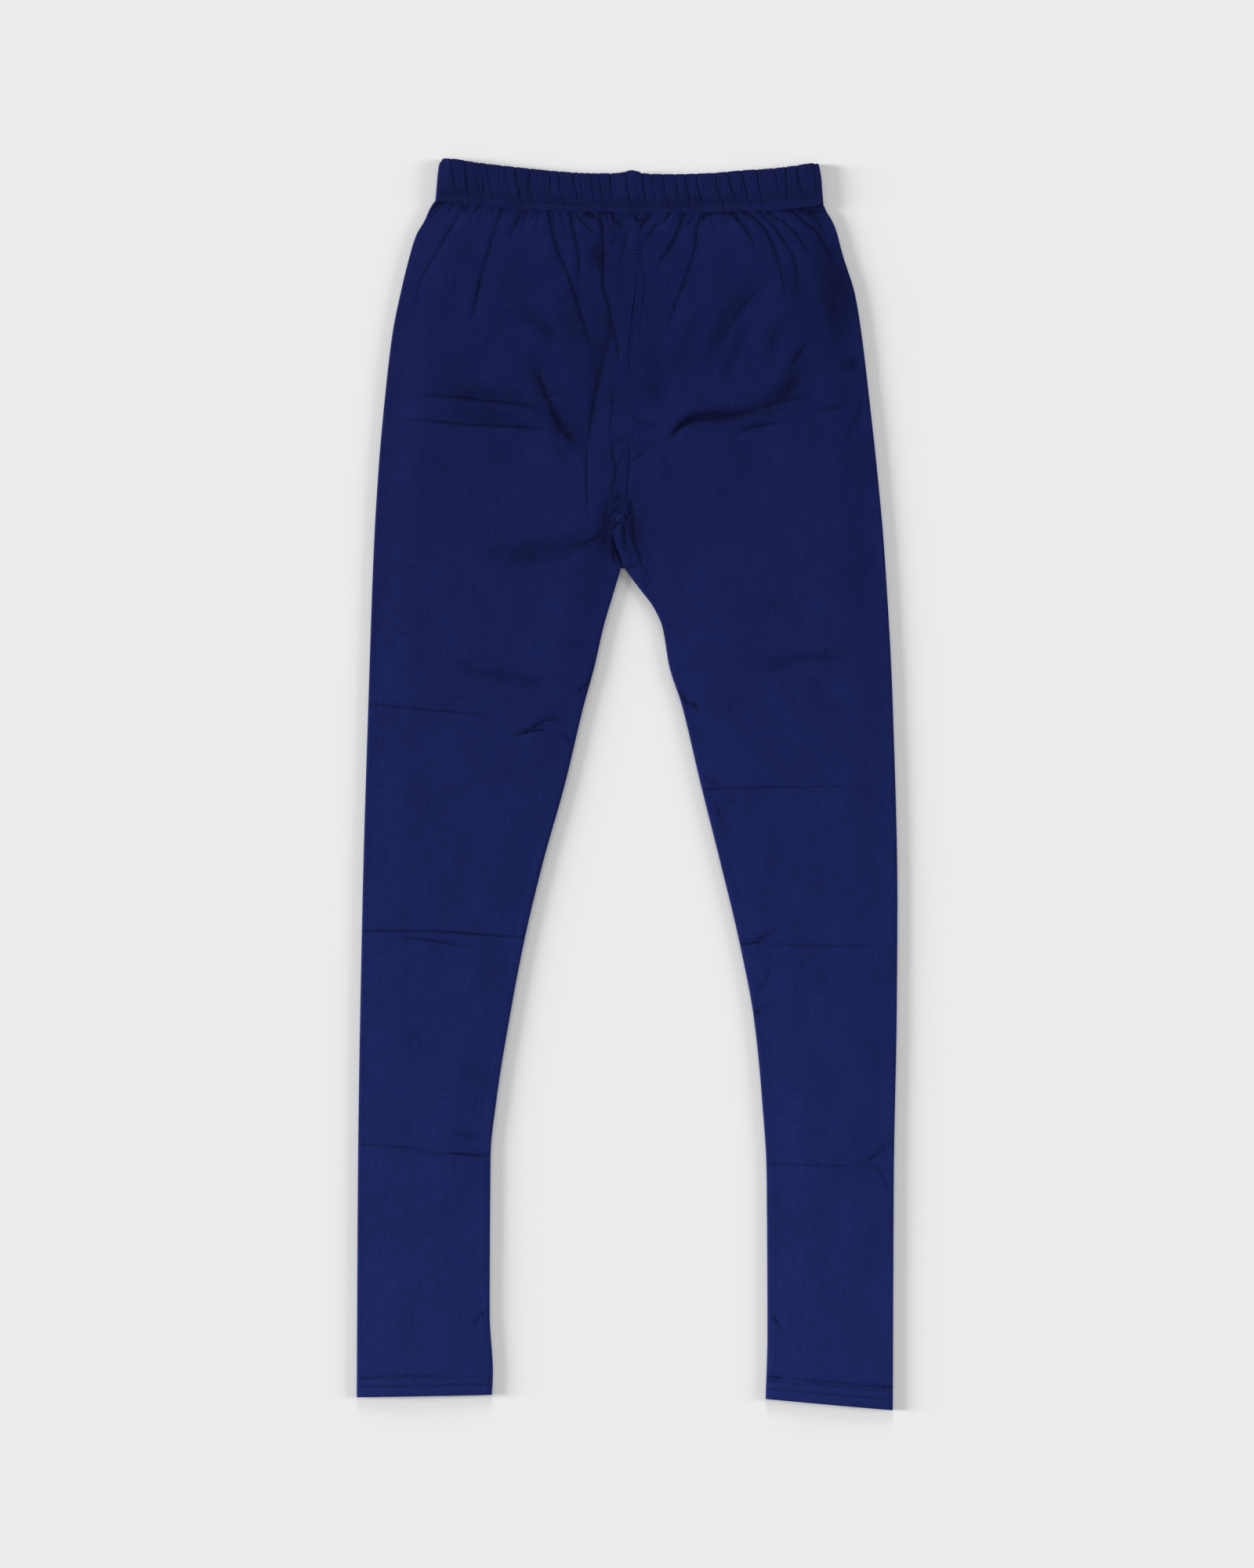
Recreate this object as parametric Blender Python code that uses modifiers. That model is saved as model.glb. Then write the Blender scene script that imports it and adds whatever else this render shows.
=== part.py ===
# Leggings laid flat, front up: two leg panels, a crotch gusset and a gathered elastic waistband.
# X runs across the garment, Y from the hems to the waist, Z up from the table it lies on.
# "Right" and "left" are the wearer's, so the right leg lies at -X. Tables are in millimetres.

from math import cos, exp, hypot, pi, sin

import bmesh
import bpy

MM = 0.001
ROUNDING = 0.01

# Cloth
WALL = 1.2
LAYER_GAP = 0.6
SEAM_GAP = 0.3
LEAST_CLEARANCE = 0.35
BACK_LEVEL = WALL / 2
FRONT_LEVEL = BACK_LEVEL + WALL + LAYER_GAP
FOLD_RADIUS = (FRONT_LEVEL - BACK_LEVEL) / 2
FOLD_REACH = WALL / 2 / cos(pi / 4)

# Hems: a turned-up end with its stitching above it
HEM_DEPTH = 14.0
HEM_RISE = 0.5
STITCH_DIP = 0.3

# Mesh density of a leg
WAIST_COLUMNS = 26
BACK_COLUMNS = 6
WAIST_ROWS = 20
WAIST_ROW_EASING = 1.2
CROTCH_ROW_STEP = 8.5
CREASE_HALF_WIDTH = 4.5

# Rise of the front layer: flat beside a folded edge, then up to its full height
EDGE_FLAT = 2.0
EDGE_RISE = 34.0
EDGE_FORM_RISE = 5.0

# Section of a fold in the cloth, in half widths and shares of its depth
FOLD_SHOULDER = 0.35
FOLD_SHOULDER_PLACE = 1.9
FOLD_SHOULDER_WIDTH = 0.8
FOLD_FADE = 0.65
CREASE_BESIDE = 0.3

# Waistband
GATHERS = 28
GATHER_UNEVEN = 0.26
GATHER_LEAN = 6.0
GATHER_RELIEF = 0.7
GATHER_MEAN_HEIGHT = 0.75
BAND_EDGE_SHARE = 0.03
BAND_BACK_COLUMNS = 18
BAND_BACK_WALL = 2.6
BAND_MOST_WALL = 3.5
BAND_GAP = 0.8
SEAM_BUMP_X = 4.3
SEAM_BUMP_RISE = 2.0
SEAM_BUMP_HALF = 7.0
SEAM_BUMP_WALL = 0.5

# Columns: x, y
WAIST_LINE = (
    (-149.2, 453.0),
    (-109.8, 448.8),
    (-55.5, 445.2),
    (0.0, 444.0),
    (48.8, 443.0),
    (90.0, 445.0),
    (122.0, 446.0),
    (153.0, 449.6),
)
BAND_TOP = (
    (-143.6, 486.5),
    (-119.0, 483.5),
    (-73.2, 478.2),
    (-32.3, 475.2),
    (20.7, 474.4),
    (63.4, 474.9),
    (100.0, 477.8),
    (131.2, 480.8),
    (149.0, 482.4),
)

# Columns: share of the band's height from its lower edge, x of its right side, x of its left side
BAND_SIDES = (
    (0.0, -149.2, 153.0),
    (0.25, -148.4, 152.2),
    (0.6, -147.4, 151.4),
    (0.85, -146.2, 150.2),
    (1.0, -143.6, 149.0),
)

# Columns: share of the band's height from its lower edge, wall thickness, share of the gather relief
BAND_PROFILE = (
    (0.00, 1.4, 0.15),
    (0.15, 1.2, 0.25),
    (0.30, 1.9, 0.8),
    (0.62, 2.2, 1.0),
    (0.92, 1.9, 1.0),
    (1.00, 1.3, 0.8),
)

# Columns: share of a gather's width, share of its height
GATHER_SHAPE = ((0.0, 0.0), (0.24, 0.72), (0.5, 1.0), (0.76, 0.6))

# Columns: y, x of the seam between the two legs, front and back alike
CENTRE_SEAM = (
    (443.0, 5.5),
    (427.0, 9.8),
    (402.6, 9.2),
    (363.0, 4.3),
    (330.0, 1.8),
    (269.0, 2.1),
    (234.9, 1.2),
    (219.7, -0.5),
)

# Columns: y, x of the gusset's right-leg side, x of its left-leg side
GUSSET = (
    (219.7, -1.1, 0.2),
    (209.9, -6.1, 0.6),
    (200.1, -10.4, 1.2),
    (189.2, -11.6, 3.1),
    (179.4, -8.2, 6.7),
    (170.9, -4.9, 10.4),
)
GUSSET_COLUMNS = 4
GUSSET_RISE = 0.5
GUSSET_RISE_LENGTH = 12.0
CROTCH_OPEN_Y = 168.3
CROTCH_Y = 167.4

# Columns: y, x of a leg's outer edge
RIGHT_OUTER = (
    (452.4, -150.4),
    (447.0, -153.6),
    (438.0, -157.6),
    (427.1, -163.9),
    (411.8, -168.8),
    (381.3, -176.3),
    (350.8, -182.4),
    (305.1, -187.9),
    (244.1, -193.4),
    (183.1, -197.0),
    (61.1, -201.3),
    (-91.4, -205.8),
    (-304.9, -209.4),
    (-476.8, -210.3),
)
LEFT_OUTER = (
    (449.4, 153.4),
    (445.4, 155.2),
    (438.0, 159.6),
    (430.7, 162.7),
    (411.8, 167.8),
    (381.3, 177.3),
    (350.8, 182.4),
    (305.1, 187.9),
    (244.1, 194.6),
    (183.1, 200.1),
    (61.1, 206.8),
    (-91.4, 210.4),
    (-182.9, 209.8),
    (-304.9, 207.6),
    (-486.8, 206.8),
)

# Columns: y, x of a leg's inner edge below the crotch
RIGHT_INSEAM = (
    (167.4, -4.9),
    (152.6, -9.2),
    (122.1, -18.3),
    (91.6, -25.2),
    (61.1, -33.6),
    (0.1, -48.2),
    (-60.9, -65.3),
    (-121.9, -79.9),
    (-182.9, -91.5),
    (-243.9, -101.3),
    (-289.7, -106.1),
    (-411.7, -106.8),
    (-457.4, -104.3),
    (-474.9, -105.1),
)
LEFT_INSEAM = (
    (167.4, -1.8),
    (152.6, 9.2),
    (137.3, 20.7),
    (122.1, 27.5),
    (91.6, 32.9),
    (61.1, 42.7),
    (0.1, 57.3),
    (-60.9, 72.6),
    (-121.9, 87.2),
    (-182.9, 98.8),
    (-243.9, 104.9),
    (-304.9, 108.6),
    (-426.9, 109.2),
    (-478.2, 107.8),
)

# Levels below the crotch, at the creases that storage left across the legs.
# Columns: y at the outer edge, y at the inner edge, depth of the crease, rows down to it
RIGHT_LEVELS = (
    (162.5, 167.4, 0.0, 0),
    (118.0, 114.0, 0.0, 3),
    (62.0, 40.0, 1.1, 2),
    (-114.5, -121.0, 1.4, 5),
    (-281.0, -289.0, 0.9, 4),
    (-476.8, -474.9, 0.0, 5),
)
LEFT_LEVELS = (
    (162.5, 167.4, 0.0, 0),
    (112.0, 107.0, 0.0, 4),
    (1.0, -5.0, 1.3, 3),
    (-125.0, -125.0, 1.6, 4),
    (-296.0, -294.0, 1.0, 5),
    (-486.8, -478.2, 0.0, 5),
)

# Columns: y, rise of the front layer above where it would touch the back one
LIFT = (
    (453.0, 1.4),
    (440.0, 2.3),
    (410.0, 2.8),
    (330.0, 2.6),
    (250.0, 2.2),
    (170.0, 1.7),
    (60.0, 1.3),
    (-150.0, 1.1),
    (-487.0, 0.8),
)

# Soft troughs that fan out from the waistband and cross the hips.
# Columns: x and y of the deep end, x and y of the shallow end, width, depth
RIGHT_FOLDS = (
    (-131.0, 447.0, -152.0, 406.0, 11.0, 1.2),
    (-101.0, 446.0, -123.0, 359.0, 12.0, 1.6),
    (-82.0, 446.0, -95.0, 410.0, 9.0, 0.8),
    (-60.0, 446.0, -35.0, 365.0, 12.0, 1.6),
    (-37.0, 446.0, -33.0, 388.0, 9.0, 1.0),
    (-18.0, 446.0, -17.0, 384.0, 11.0, 1.6),
    (-16.5, 385.0, -32.0, 269.0, 13.0, 1.7),
    (-12.0, 379.0, -5.5, 326.0, 10.0, 1.0),
    (-72.0, 334.0, -35.0, 260.0, 17.0, 1.8),
    (-66.0, 362.0, -49.0, 334.0, 18.0, 1.0),
    (-75.0, 294.0, -168.0, 302.5, 13.0, 1.2),
    (-63.0, 276.0, -156.0, 283.5, 13.0, 1.2),
    (-14.0, 203.0, -94.0, 179.0, 14.0, 1.4),
)
LEFT_FOLDS = (
    (42.0, 445.0, 25.0, 402.0, 10.0, 1.1),
    (57.0, 445.0, 34.0, 372.0, 12.0, 1.6),
    (72.0, 445.0, 68.0, 412.0, 9.0, 0.7),
    (88.0, 445.0, 101.0, 410.0, 12.0, 1.4),
    (108.0, 445.0, 130.0, 380.0, 12.0, 1.4),
    (126.0, 446.0, 168.0, 335.0, 13.0, 1.2),
    (139.0, 446.0, 158.0, 403.0, 10.0, 1.0),
    (49.0, 364.0, 36.0, 334.0, 15.0, 1.4),
    (94.0, 356.0, 72.0, 318.0, 13.0, 1.0),
    (121.0, 369.0, 107.0, 328.0, 16.0, 1.4),
    (47.0, 283.5, 119.0, 297.0, 17.0, 2.1),
    (119.0, 297.0, 137.0, 337.0, 15.0, 1.7),
    (31.0, 268.0, 47.0, 283.5, 13.0, 1.7),
    (165.0, 292.0, 138.0, 290.0, 11.0, 0.8),
    (27.0, 250.0, 27.0, 158.0, 11.0, 0.6),
)

NAVY = (0.010, 0.015, 0.080, 1.0)
NAVY_DEEP = (0.008, 0.012, 0.062, 1.0)


def clear_scene():
    for thing in list(bpy.data.objects):
        bpy.data.objects.remove(thing, do_unlink=True)


def cloth(name, colour, roughness):
    material = bpy.data.materials.new(name)
    material.use_nodes = True
    shader = material.node_tree.nodes["Principled BSDF"]
    shader.inputs["Base Color"].default_value = colour
    shader.inputs["Roughness"].default_value = roughness
    shader.inputs["Metallic"].default_value = 0.0
    return material


def mix(a, b, share):
    return a + (b - a) * share


def smooth_step(share):
    held = min(max(share, 0.0), 1.0)
    return held * held * (3 - 2 * held)


def slope_at(table, index):
    """Slope of a table's smooth curve at one row, flat where the curve turns back."""
    if index in (0, len(table) - 1):
        near, far = (0, 1) if index == 0 else (-2, -1)
        return (table[far][1] - table[near][1]) / (table[far][0] - table[near][0])
    before = (table[index][1] - table[index - 1][1]) / (table[index][0] - table[index - 1][0])
    after = (table[index + 1][1] - table[index][1]) / (table[index + 1][0] - table[index][0])
    if before * after <= 0:
        return 0.0
    return 2 * before * after / (before + after)


def curve_at(table, place):
    """Value of a table of (place, value) rows at one place, on a smooth curve through the rows."""
    rows = sorted(table)
    if place <= rows[0][0]:
        return rows[0][1]
    if place >= rows[-1][0]:
        return rows[-1][1]
    index = max(i for i, row in enumerate(rows) if row[0] <= place)
    span = rows[index + 1][0] - rows[index][0]
    t = (place - rows[index][0]) / span
    start_slope = slope_at(rows, index) * span
    end_slope = slope_at(rows, index + 1) * span
    rise = rows[index + 1][1] - rows[index][1]
    return (
        rows[index][1]
        + start_slope * t
        + (3 * rise - 2 * start_slope - end_slope) * t * t
        + (start_slope + end_slope - 2 * rise) * t ** 3
    )


def trough(x, y, fold):
    """Height that one fold adds at a point: a soft trough with a low shoulder on each side."""
    x1, y1, x2, y2, width, depth = fold
    length = hypot(x2 - x1, y2 - y1)
    along = ((x - x1) * (x2 - x1) + (y - y1) * (y2 - y1)) / length ** 2
    held = min(max(along, 0.0), 1.0)
    away = hypot(x - mix(x1, x2, held), y - mix(y1, y2, held)) / (width / 2)
    shoulder = FOLD_SHOULDER * exp(-((away - FOLD_SHOULDER_PLACE) / FOLD_SHOULDER_WIDTH) ** 2)
    return depth * (1 - FOLD_FADE * held ** 2) * (shoulder - exp(-away ** 2))


class Leg:
    """One leg panel's outline, levels and folds. side is -1 for the right leg and 1 for the left."""

    def __init__(self, side, outer, inseam, levels, folds):
        self.side = side
        self.outer = outer
        self.inseam = inseam
        self.levels = levels
        self.folds = folds
        self.gusset_side = [(row[0], row[1] if side < 0 else row[2]) for row in GUSSET]

    def centre_x(self, y):
        """The panel's own edge along the centre seam and the gusset."""
        if y > GUSSET[0][0] + ROUNDING:
            seam = curve_at(CENTRE_SEAM, y)
        else:
            seam = curve_at(self.gusset_side, y)
        return seam + self.side * SEAM_GAP / 2

    def open_rows(self):
        """(y at the outer edge, y at the centre) of each row from the waist to the crotch."""
        top_out = self.outer[0][0] - SEAM_GAP
        top_in = curve_at(WAIST_LINE, CENTRE_SEAM[0][1]) - SEAM_GAP
        inner = [
            mix(top_in, GUSSET[0][0], (k / WAIST_ROWS) ** WAIST_ROW_EASING)
            for k in range(WAIST_ROWS + 1)
        ]
        inner += [row[0] for row in GUSSET[1:]]
        inner.append(CROTCH_OPEN_Y)
        below = len(inner) - WAIST_ROWS
        hip_out = self.levels[0][0] + CROTCH_ROW_STEP * below
        outer = [
            mix(top_out, hip_out, (k / WAIST_ROWS) ** WAIST_ROW_EASING)
            for k in range(WAIST_ROWS + 1)
        ]
        outer += [hip_out - CROTCH_ROW_STEP * k for k in range(1, below)]
        return list(zip(outer, inner))

    def closed_rows(self):
        """(y at the outer edge, y at the inseam, crease height) of each row from the crotch to the hem."""
        rows = [(*self.levels[0][:2], 0.0)]
        for upper, lower in zip(self.levels, self.levels[1:]):
            start = CREASE_HALF_WIDTH if upper[2] else 0.0
            last = lower is self.levels[-1]
            if last:
                end = HEM_DEPTH
            else:
                end = CREASE_HALF_WIDTH if lower[2] else 0.0
            span = upper[0] - lower[0]
            steps = lower[3]
            if start:
                rows.append((upper[0] - start, upper[1] - start, CREASE_BESIDE * upper[2]))
            for k in range(1, steps + 1):
                share = (start + (span - start - end) * k / steps) / span
                crest = 0.0
                if k == steps:
                    crest = -STITCH_DIP if last else CREASE_BESIDE * lower[2]
                rows.append((mix(upper[0], lower[0], share), mix(upper[1], lower[1], share), crest))
            if last:
                half = HEM_DEPTH / 2
                rows.append((lower[0] + half, lower[1] + half, HEM_RISE))
            if end:
                rows.append((lower[0], lower[1], HEM_RISE if last else -lower[2]))
        return rows

    def front_z(self, x, y, edge_distance, crest):
        rise = curve_at(LIFT, y) * smooth_step(edge_distance / EDGE_RISE)
        form = rise + crest + sum(trough(x, y, fold) for fold in self.folds)
        least = LEAST_CLEARANCE - LAYER_GAP
        return FRONT_LEVEL + max(form * smooth_step(edge_distance / EDGE_FORM_RISE), least)


def row_points(leg, y_out, y_in, columns, closed, level):
    """(x, y) of a row's points from the outer edge in. level is 0 at the waist and 1 at the crotch."""
    x_out = curve_at(leg.outer, y_out) + -leg.side * (FOLD_REACH + FOLD_RADIUS)
    if closed:
        x_in = curve_at(leg.inseam, y_in) + leg.side * (FOLD_REACH + FOLD_RADIUS)
    else:
        x_in = leg.centre_x(y_in)
    points = []
    for k in range(columns + 1):
        share = k / columns
        x = mix(x_out, x_in, share)
        straight = mix(y_out, y_in, share)
        if level < 1:
            top_out = leg.outer[0][0]
            top_in = curve_at(WAIST_LINE, CENTRE_SEAM[0][1])
            bend = curve_at(WAIST_LINE, x) - mix(top_out, top_in, share)
            straight += bend * (1 - level)
        points.append((x, straight))
    return points


def add_row(bm, leg, y_out, y_in, columns, closed, level, crest):
    """One section of the panel: front, outer fold, back and, on a closed row, the inner fold."""
    front = []
    for x, y in row_points(leg, y_out, y_in, columns, closed, level):
        from_outer = abs(x - curve_at(leg.outer, y))
        if closed:
            from_inner = abs(x - curve_at(leg.inseam, y))
        else:
            from_inner = hypot(x - leg.inseam[0][1], y - CROTCH_Y)
        z = leg.front_z(x, y, max(min(from_outer, from_inner) - EDGE_FLAT, 0.0), crest)
        front.append(bm.verts.new((x * MM, y * MM, z * MM)))
    back = [
        bm.verts.new((x * MM, y * MM, BACK_LEVEL * MM))
        for x, y in row_points(leg, y_out, y_in, BACK_COLUMNS, closed, level)
    ]
    middle = (FRONT_LEVEL + BACK_LEVEL) / 2 * MM
    edge = front[0].co
    outer = bm.verts.new((edge.x + leg.side * FOLD_RADIUS * MM, edge.y, middle))
    inner = None
    if closed:
        edge = front[-1].co
        inner = bm.verts.new((edge.x - leg.side * FOLD_RADIUS * MM, edge.y, middle))
    return {"front": front, "outer": outer, "back": back, "inner": inner}


def join_rows(bm, upper, lower):
    """Faces between two rows. Where the lower row has half the columns, each of its cells takes two."""
    fine = len(upper["front"]) > len(lower["front"])
    for k in range(len(lower["front"]) - 1):
        if fine:
            top = upper["front"][2 * k:2 * k + 3]
        else:
            top = upper["front"][k:k + 2]
        bm.faces.new([lower["front"][k + 1], lower["front"][k]] + top)
    for a, b in (("front", "outer"), ("outer", "back")):
        ends = []
        for row in (upper, lower):
            ends.append([row[name] if name == "outer" else row[name][0] for name in (a, b)])
        bm.faces.new([ends[0][0], ends[1][0], ends[1][1], ends[0][1]])
    for k in range(BACK_COLUMNS):
        high = upper["back"]
        low = lower["back"]
        bm.faces.new([low[k], low[k + 1], high[k + 1], high[k]])
    if upper["inner"] and lower["inner"]:
        bm.faces.new([upper["inner"], lower["inner"], lower["front"][-1], upper["front"][-1]])
        bm.faces.new([upper["back"][-1], lower["back"][-1], lower["inner"], upper["inner"]])


def add_object(bm, name, material, collection):
    bmesh.ops.recalc_face_normals(bm, faces=bm.faces)
    mesh = bpy.data.meshes.new(name)
    bm.to_mesh(mesh)
    bm.free()
    mesh.materials.append(material)
    mesh.shade_smooth()
    thing = bpy.data.objects.new(name, mesh)
    collection.objects.link(thing)
    return thing


def add_wall(thing, thickness, offset, even):
    solid = thing.modifiers.new("Wall", "SOLIDIFY")
    solid.thickness = thickness * MM
    solid.offset = offset
    solid.use_even_offset = even
    solid.use_quality_normals = True
    return solid


def upward(bm):
    """Turns the sheet so that its topmost face looks up."""
    bmesh.ops.recalc_face_normals(bm, faces=bm.faces)
    top = max(bm.faces, key=lambda f: f.calc_center_median().z)
    if top.normal.z < 0:
        bmesh.ops.reverse_faces(bm, faces=bm.faces)


def make_leg(name, leg, collection):
    bm = bmesh.new()
    rows = []
    open_rows = leg.open_rows()
    for index, (y_out, y_in) in enumerate(open_rows):
        level = min(index / WAIST_ROWS, 1.0)
        rows.append(add_row(bm, leg, y_out, y_in, WAIST_COLUMNS, False, level, 0.0))
    for index, (y_out, y_in, crest) in enumerate(leg.closed_rows()):
        columns = WAIST_COLUMNS if index == 0 else WAIST_COLUMNS // 2
        rows.append(add_row(bm, leg, y_out, y_in, columns, True, 1.0, crest))
    for upper, lower in zip(rows, rows[1:]):
        join_rows(bm, upper, lower)
    upward(bm)
    thing = add_object(bm, name, cloth(name, NAVY, 0.9), collection)
    add_wall(thing, WALL, 0.0, True)
    return thing


def make_gusset(collection):
    bm = bmesh.new()
    front = []
    back = []
    rows = list(GUSSET)
    base = rows[-1][0] - FOLD_RADIUS
    for y, x_right, x_left in rows:
        start = x_right + SEAM_GAP / 2
        end = x_left - SEAM_GAP / 2
        rise = 0.0
        if y > rows[-1][0]:
            rise = GUSSET_RISE * smooth_step((y - base) / GUSSET_RISE_LENGTH)
        across = [mix(start, end, k / GUSSET_COLUMNS) * MM for k in range(GUSSET_COLUMNS + 1)]
        front.append([bm.verts.new((x, y * MM, (FRONT_LEVEL + rise) * MM)) for x in across])
        back.append([bm.verts.new((x, y * MM, BACK_LEVEL * MM)) for x in across])
    middle = (FRONT_LEVEL + BACK_LEVEL) / 2 * MM
    fold = [bm.verts.new((v.co.x, base * MM, middle)) for v in front[-1]]
    strip = front + [fold] + back[::-1]
    for upper, lower in zip(strip, strip[1:]):
        for k in range(GUSSET_COLUMNS):
            bm.faces.new([upper[k], lower[k], lower[k + 1], upper[k + 1]])
    upward(bm)
    thing = add_object(bm, "gusset", cloth("gusset", NAVY_DEEP, 0.9), collection)
    add_wall(thing, WALL, 0.0, True)
    return thing


def gather_columns():
    """(share across, share of a gather's height) of the band's front columns."""
    # Sines out of step with the count make the gathers as uneven as hand-fed ones
    widths = [1 + GATHER_UNEVEN * (sin(1.9 * k) + sin(4.7 * k + 1) / 2) for k in range(GATHERS)]
    heights = [mix(GATHER_MEAN_HEIGHT, 1.0, sin(2.3 * k + 0.5)) for k in range(GATHERS)]
    total = sum(widths)
    columns = []
    start = 0.0
    for width, height in zip(widths, heights):
        for place, crest in GATHER_SHAPE:
            columns.append(((start + width * place) / total, crest * height))
        start += width
    columns.append((1.0, 0.0))
    return columns


def band_point(share, height):
    """(x, y) on the band's front at a share of its width and height, and the seam bump's share."""
    start = curve_at([row[:2] for row in BAND_SIDES], height)
    end = curve_at([(row[0], row[2]) for row in BAND_SIDES], height)
    low_x = mix(WAIST_LINE[0][0], WAIST_LINE[-1][0], share)
    high_x = mix(BAND_TOP[0][0], BAND_TOP[-1][0], share)
    lean = GATHER_LEAN * sin(pi * share) * height
    bump = exp(-((high_x - lean - SEAM_BUMP_X) / SEAM_BUMP_HALF) ** 2)
    low_y = curve_at(WAIST_LINE, low_x)
    high_y = curve_at(BAND_TOP, high_x - lean) + SEAM_BUMP_RISE * bump
    return mix(start, end, share) - lean, mix(low_y, high_y, height), bump


def band_ring(bm, height, wall, relief_share, walls):
    """Points of the band's plain inside at one height, and in walls the thickness that each one gets."""
    side_wall = min(wall, BAND_BACK_WALL)
    inset = side_wall + BAND_GAP / 2
    first_x, first_y, _ = band_point(0.0, height)
    last_x, last_y, _ = band_point(1.0, height)
    ring = []

    def add(x, y, z, thickness):
        vertex = bm.verts.new((x * MM, y * MM, z * MM))
        walls[vertex] = thickness
        ring.append(vertex)

    def inset_x(x):
        return mix(first_x + inset, last_x - inset, (x - first_x) / (last_x - first_x))

    for share, crest in gather_columns():
        x, y, bump = band_point(share, height)
        edge = smooth_step(min(share, 1 - share) / BAND_EDGE_SHARE)
        relief = GATHER_RELIEF * relief_share * (crest - 0.5) + SEAM_BUMP_WALL * bump
        add(inset_x(x), y, BAND_BACK_WALL + BAND_GAP, mix(side_wall, wall + relief, edge))
    add(last_x - side_wall, last_y, BAND_BACK_WALL + BAND_GAP / 2, side_wall)
    for k in range(BAND_BACK_COLUMNS + 1):
        x, y, _ = band_point(1 - k / BAND_BACK_COLUMNS, height)
        add(inset_x(x), y, BAND_BACK_WALL, BAND_BACK_WALL)
    add(first_x + side_wall, first_y, BAND_BACK_WALL + BAND_GAP / 2, side_wall)
    return ring


def make_waistband(collection):
    bm = bmesh.new()
    walls = {}
    rings = [band_ring(bm, *row, walls) for row in BAND_PROFILE]
    for lower, upper in zip(rings, rings[1:]):
        for k in range(len(lower)):
            after = (k + 1) % len(lower)
            bm.faces.new([lower[k], lower[after], upper[after], upper[k]])
    upward(bm)
    bm.verts.index_update()
    weights = {vertex.index: wall / BAND_MOST_WALL for vertex, wall in walls.items()}
    thing = add_object(bm, "waistband", cloth("waistband", NAVY_DEEP, 0.85), collection)
    group = thing.vertex_groups.new(name="wall")
    for index, weight in weights.items():
        group.add([index], weight, "REPLACE")
    solid = add_wall(thing, BAND_MOST_WALL, 1.0, False)
    solid.vertex_group = group.name
    return thing


def main():
    clear_scene()
    collection = bpy.data.collections.new("leggings")
    bpy.context.scene.collection.children.link(collection)
    right = Leg(-1, RIGHT_OUTER, RIGHT_INSEAM, RIGHT_LEVELS, RIGHT_FOLDS)
    left = Leg(1, LEFT_OUTER, LEFT_INSEAM, LEFT_LEVELS, LEFT_FOLDS)
    make_leg("leg_right", right, collection)
    make_leg("leg_left", left, collection)
    make_gusset(collection)
    make_waistband(collection)


main()
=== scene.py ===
import bmesh
import bpy
import numpy as np
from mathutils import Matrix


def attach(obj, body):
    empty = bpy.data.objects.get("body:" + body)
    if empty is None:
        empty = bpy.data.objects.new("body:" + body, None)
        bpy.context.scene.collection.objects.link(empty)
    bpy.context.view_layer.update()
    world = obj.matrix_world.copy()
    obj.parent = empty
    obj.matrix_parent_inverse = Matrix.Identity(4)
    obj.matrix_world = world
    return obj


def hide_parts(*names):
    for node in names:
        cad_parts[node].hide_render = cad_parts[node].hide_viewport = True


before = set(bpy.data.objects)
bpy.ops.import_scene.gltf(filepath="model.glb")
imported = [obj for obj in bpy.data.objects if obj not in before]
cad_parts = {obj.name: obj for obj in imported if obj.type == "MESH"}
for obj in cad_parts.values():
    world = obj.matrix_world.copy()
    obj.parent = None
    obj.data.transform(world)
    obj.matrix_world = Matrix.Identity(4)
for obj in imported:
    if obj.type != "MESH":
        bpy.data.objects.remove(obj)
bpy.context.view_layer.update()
mm = 0.001

# Leggings laid flat, front up, the waist towards +Y. "Right" and "left" are the wearer's, so the right
# leg lies at -X. Sizes below are millimetres unless a note says otherwise.

jersey = {
    "wall": 0.6,  # cotton and elastane single jersey
    "hemWall": 1.0,  # with the turned-up end inside
    "bottom": 0.05,  # underside of the back layer above the table
    "top": 3.0,  # top of the front layer at a folded edge
    "leastForm": -0.25,  # how far a trough may sink below that
    "waistTop": 1.2,  # rise of the front layer where it meets the waistband
}
foldRadius = (jersey["top"] - jersey["bottom"]) / 2
foldMiddle = (jersey["top"] + jersey["bottom"]) / 2

# Section of a crease: a crisp groove in a soft trough, with a low shoulder beside it. Shares of its width
# or of its depth, unless a note says otherwise.
# Besides its shape, each crease gets shade painted in and beside its groove.
crease = {
    "grooveWidth": 0.05,
    "leastGroove": 0.6,  # millimetres
    "grooveDepth": 0.10,
    "troughWidth": 0.62,
    "troughDepth": 0.07,
    "troughLean": 0.5,  # how much deeper it is on the side it leans to
    "shoulderPlace": 1.0,
    "shoulderWidth": 0.5,
    "shoulderHeight": 0.015,
    "reach": 2.4,  # beyond which it adds nothing
    "softWidth": (7.0, 10.0),  # millimetres, over which it turns into a soft hollow without a groove
    # painted shade in the groove and beside it
    "haze": (0.55, 0.38),  # shade beside the groove as a share of that in it: in a soft one, a crisp one
    "hazeWidth": (0.75, 0.45),
    "fullShade": 2.4,  # depth from which the groove is as dark as it gets
    "fadeIn": 0.3,  # of its length, where it starts amid the cloth
    "firstFade": 0.15,
    "fadeOut": 0.4,
    "thinning": 0.5,  # what it loses on its way
}


# Small helpers for shapes

def mix(a, b, share):
    return a + (b - a) * share


def smooth(share):
    held = np.clip(share, 0.0, 1.0)
    return held * held * (3 - 2 * held)


def between(value, start, end):  # 0 up to the start, 1 from the end on
    return smooth((value - start) / (end - start))


def bell(distance, width):
    return np.exp(-((distance / width) ** 2))


def wayAlong(points):  # how far each point of a row is from the first, along the row
    return np.concatenate([[0.0], np.cumsum(np.hypot(*np.diff(points, axis=0).T))])


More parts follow.
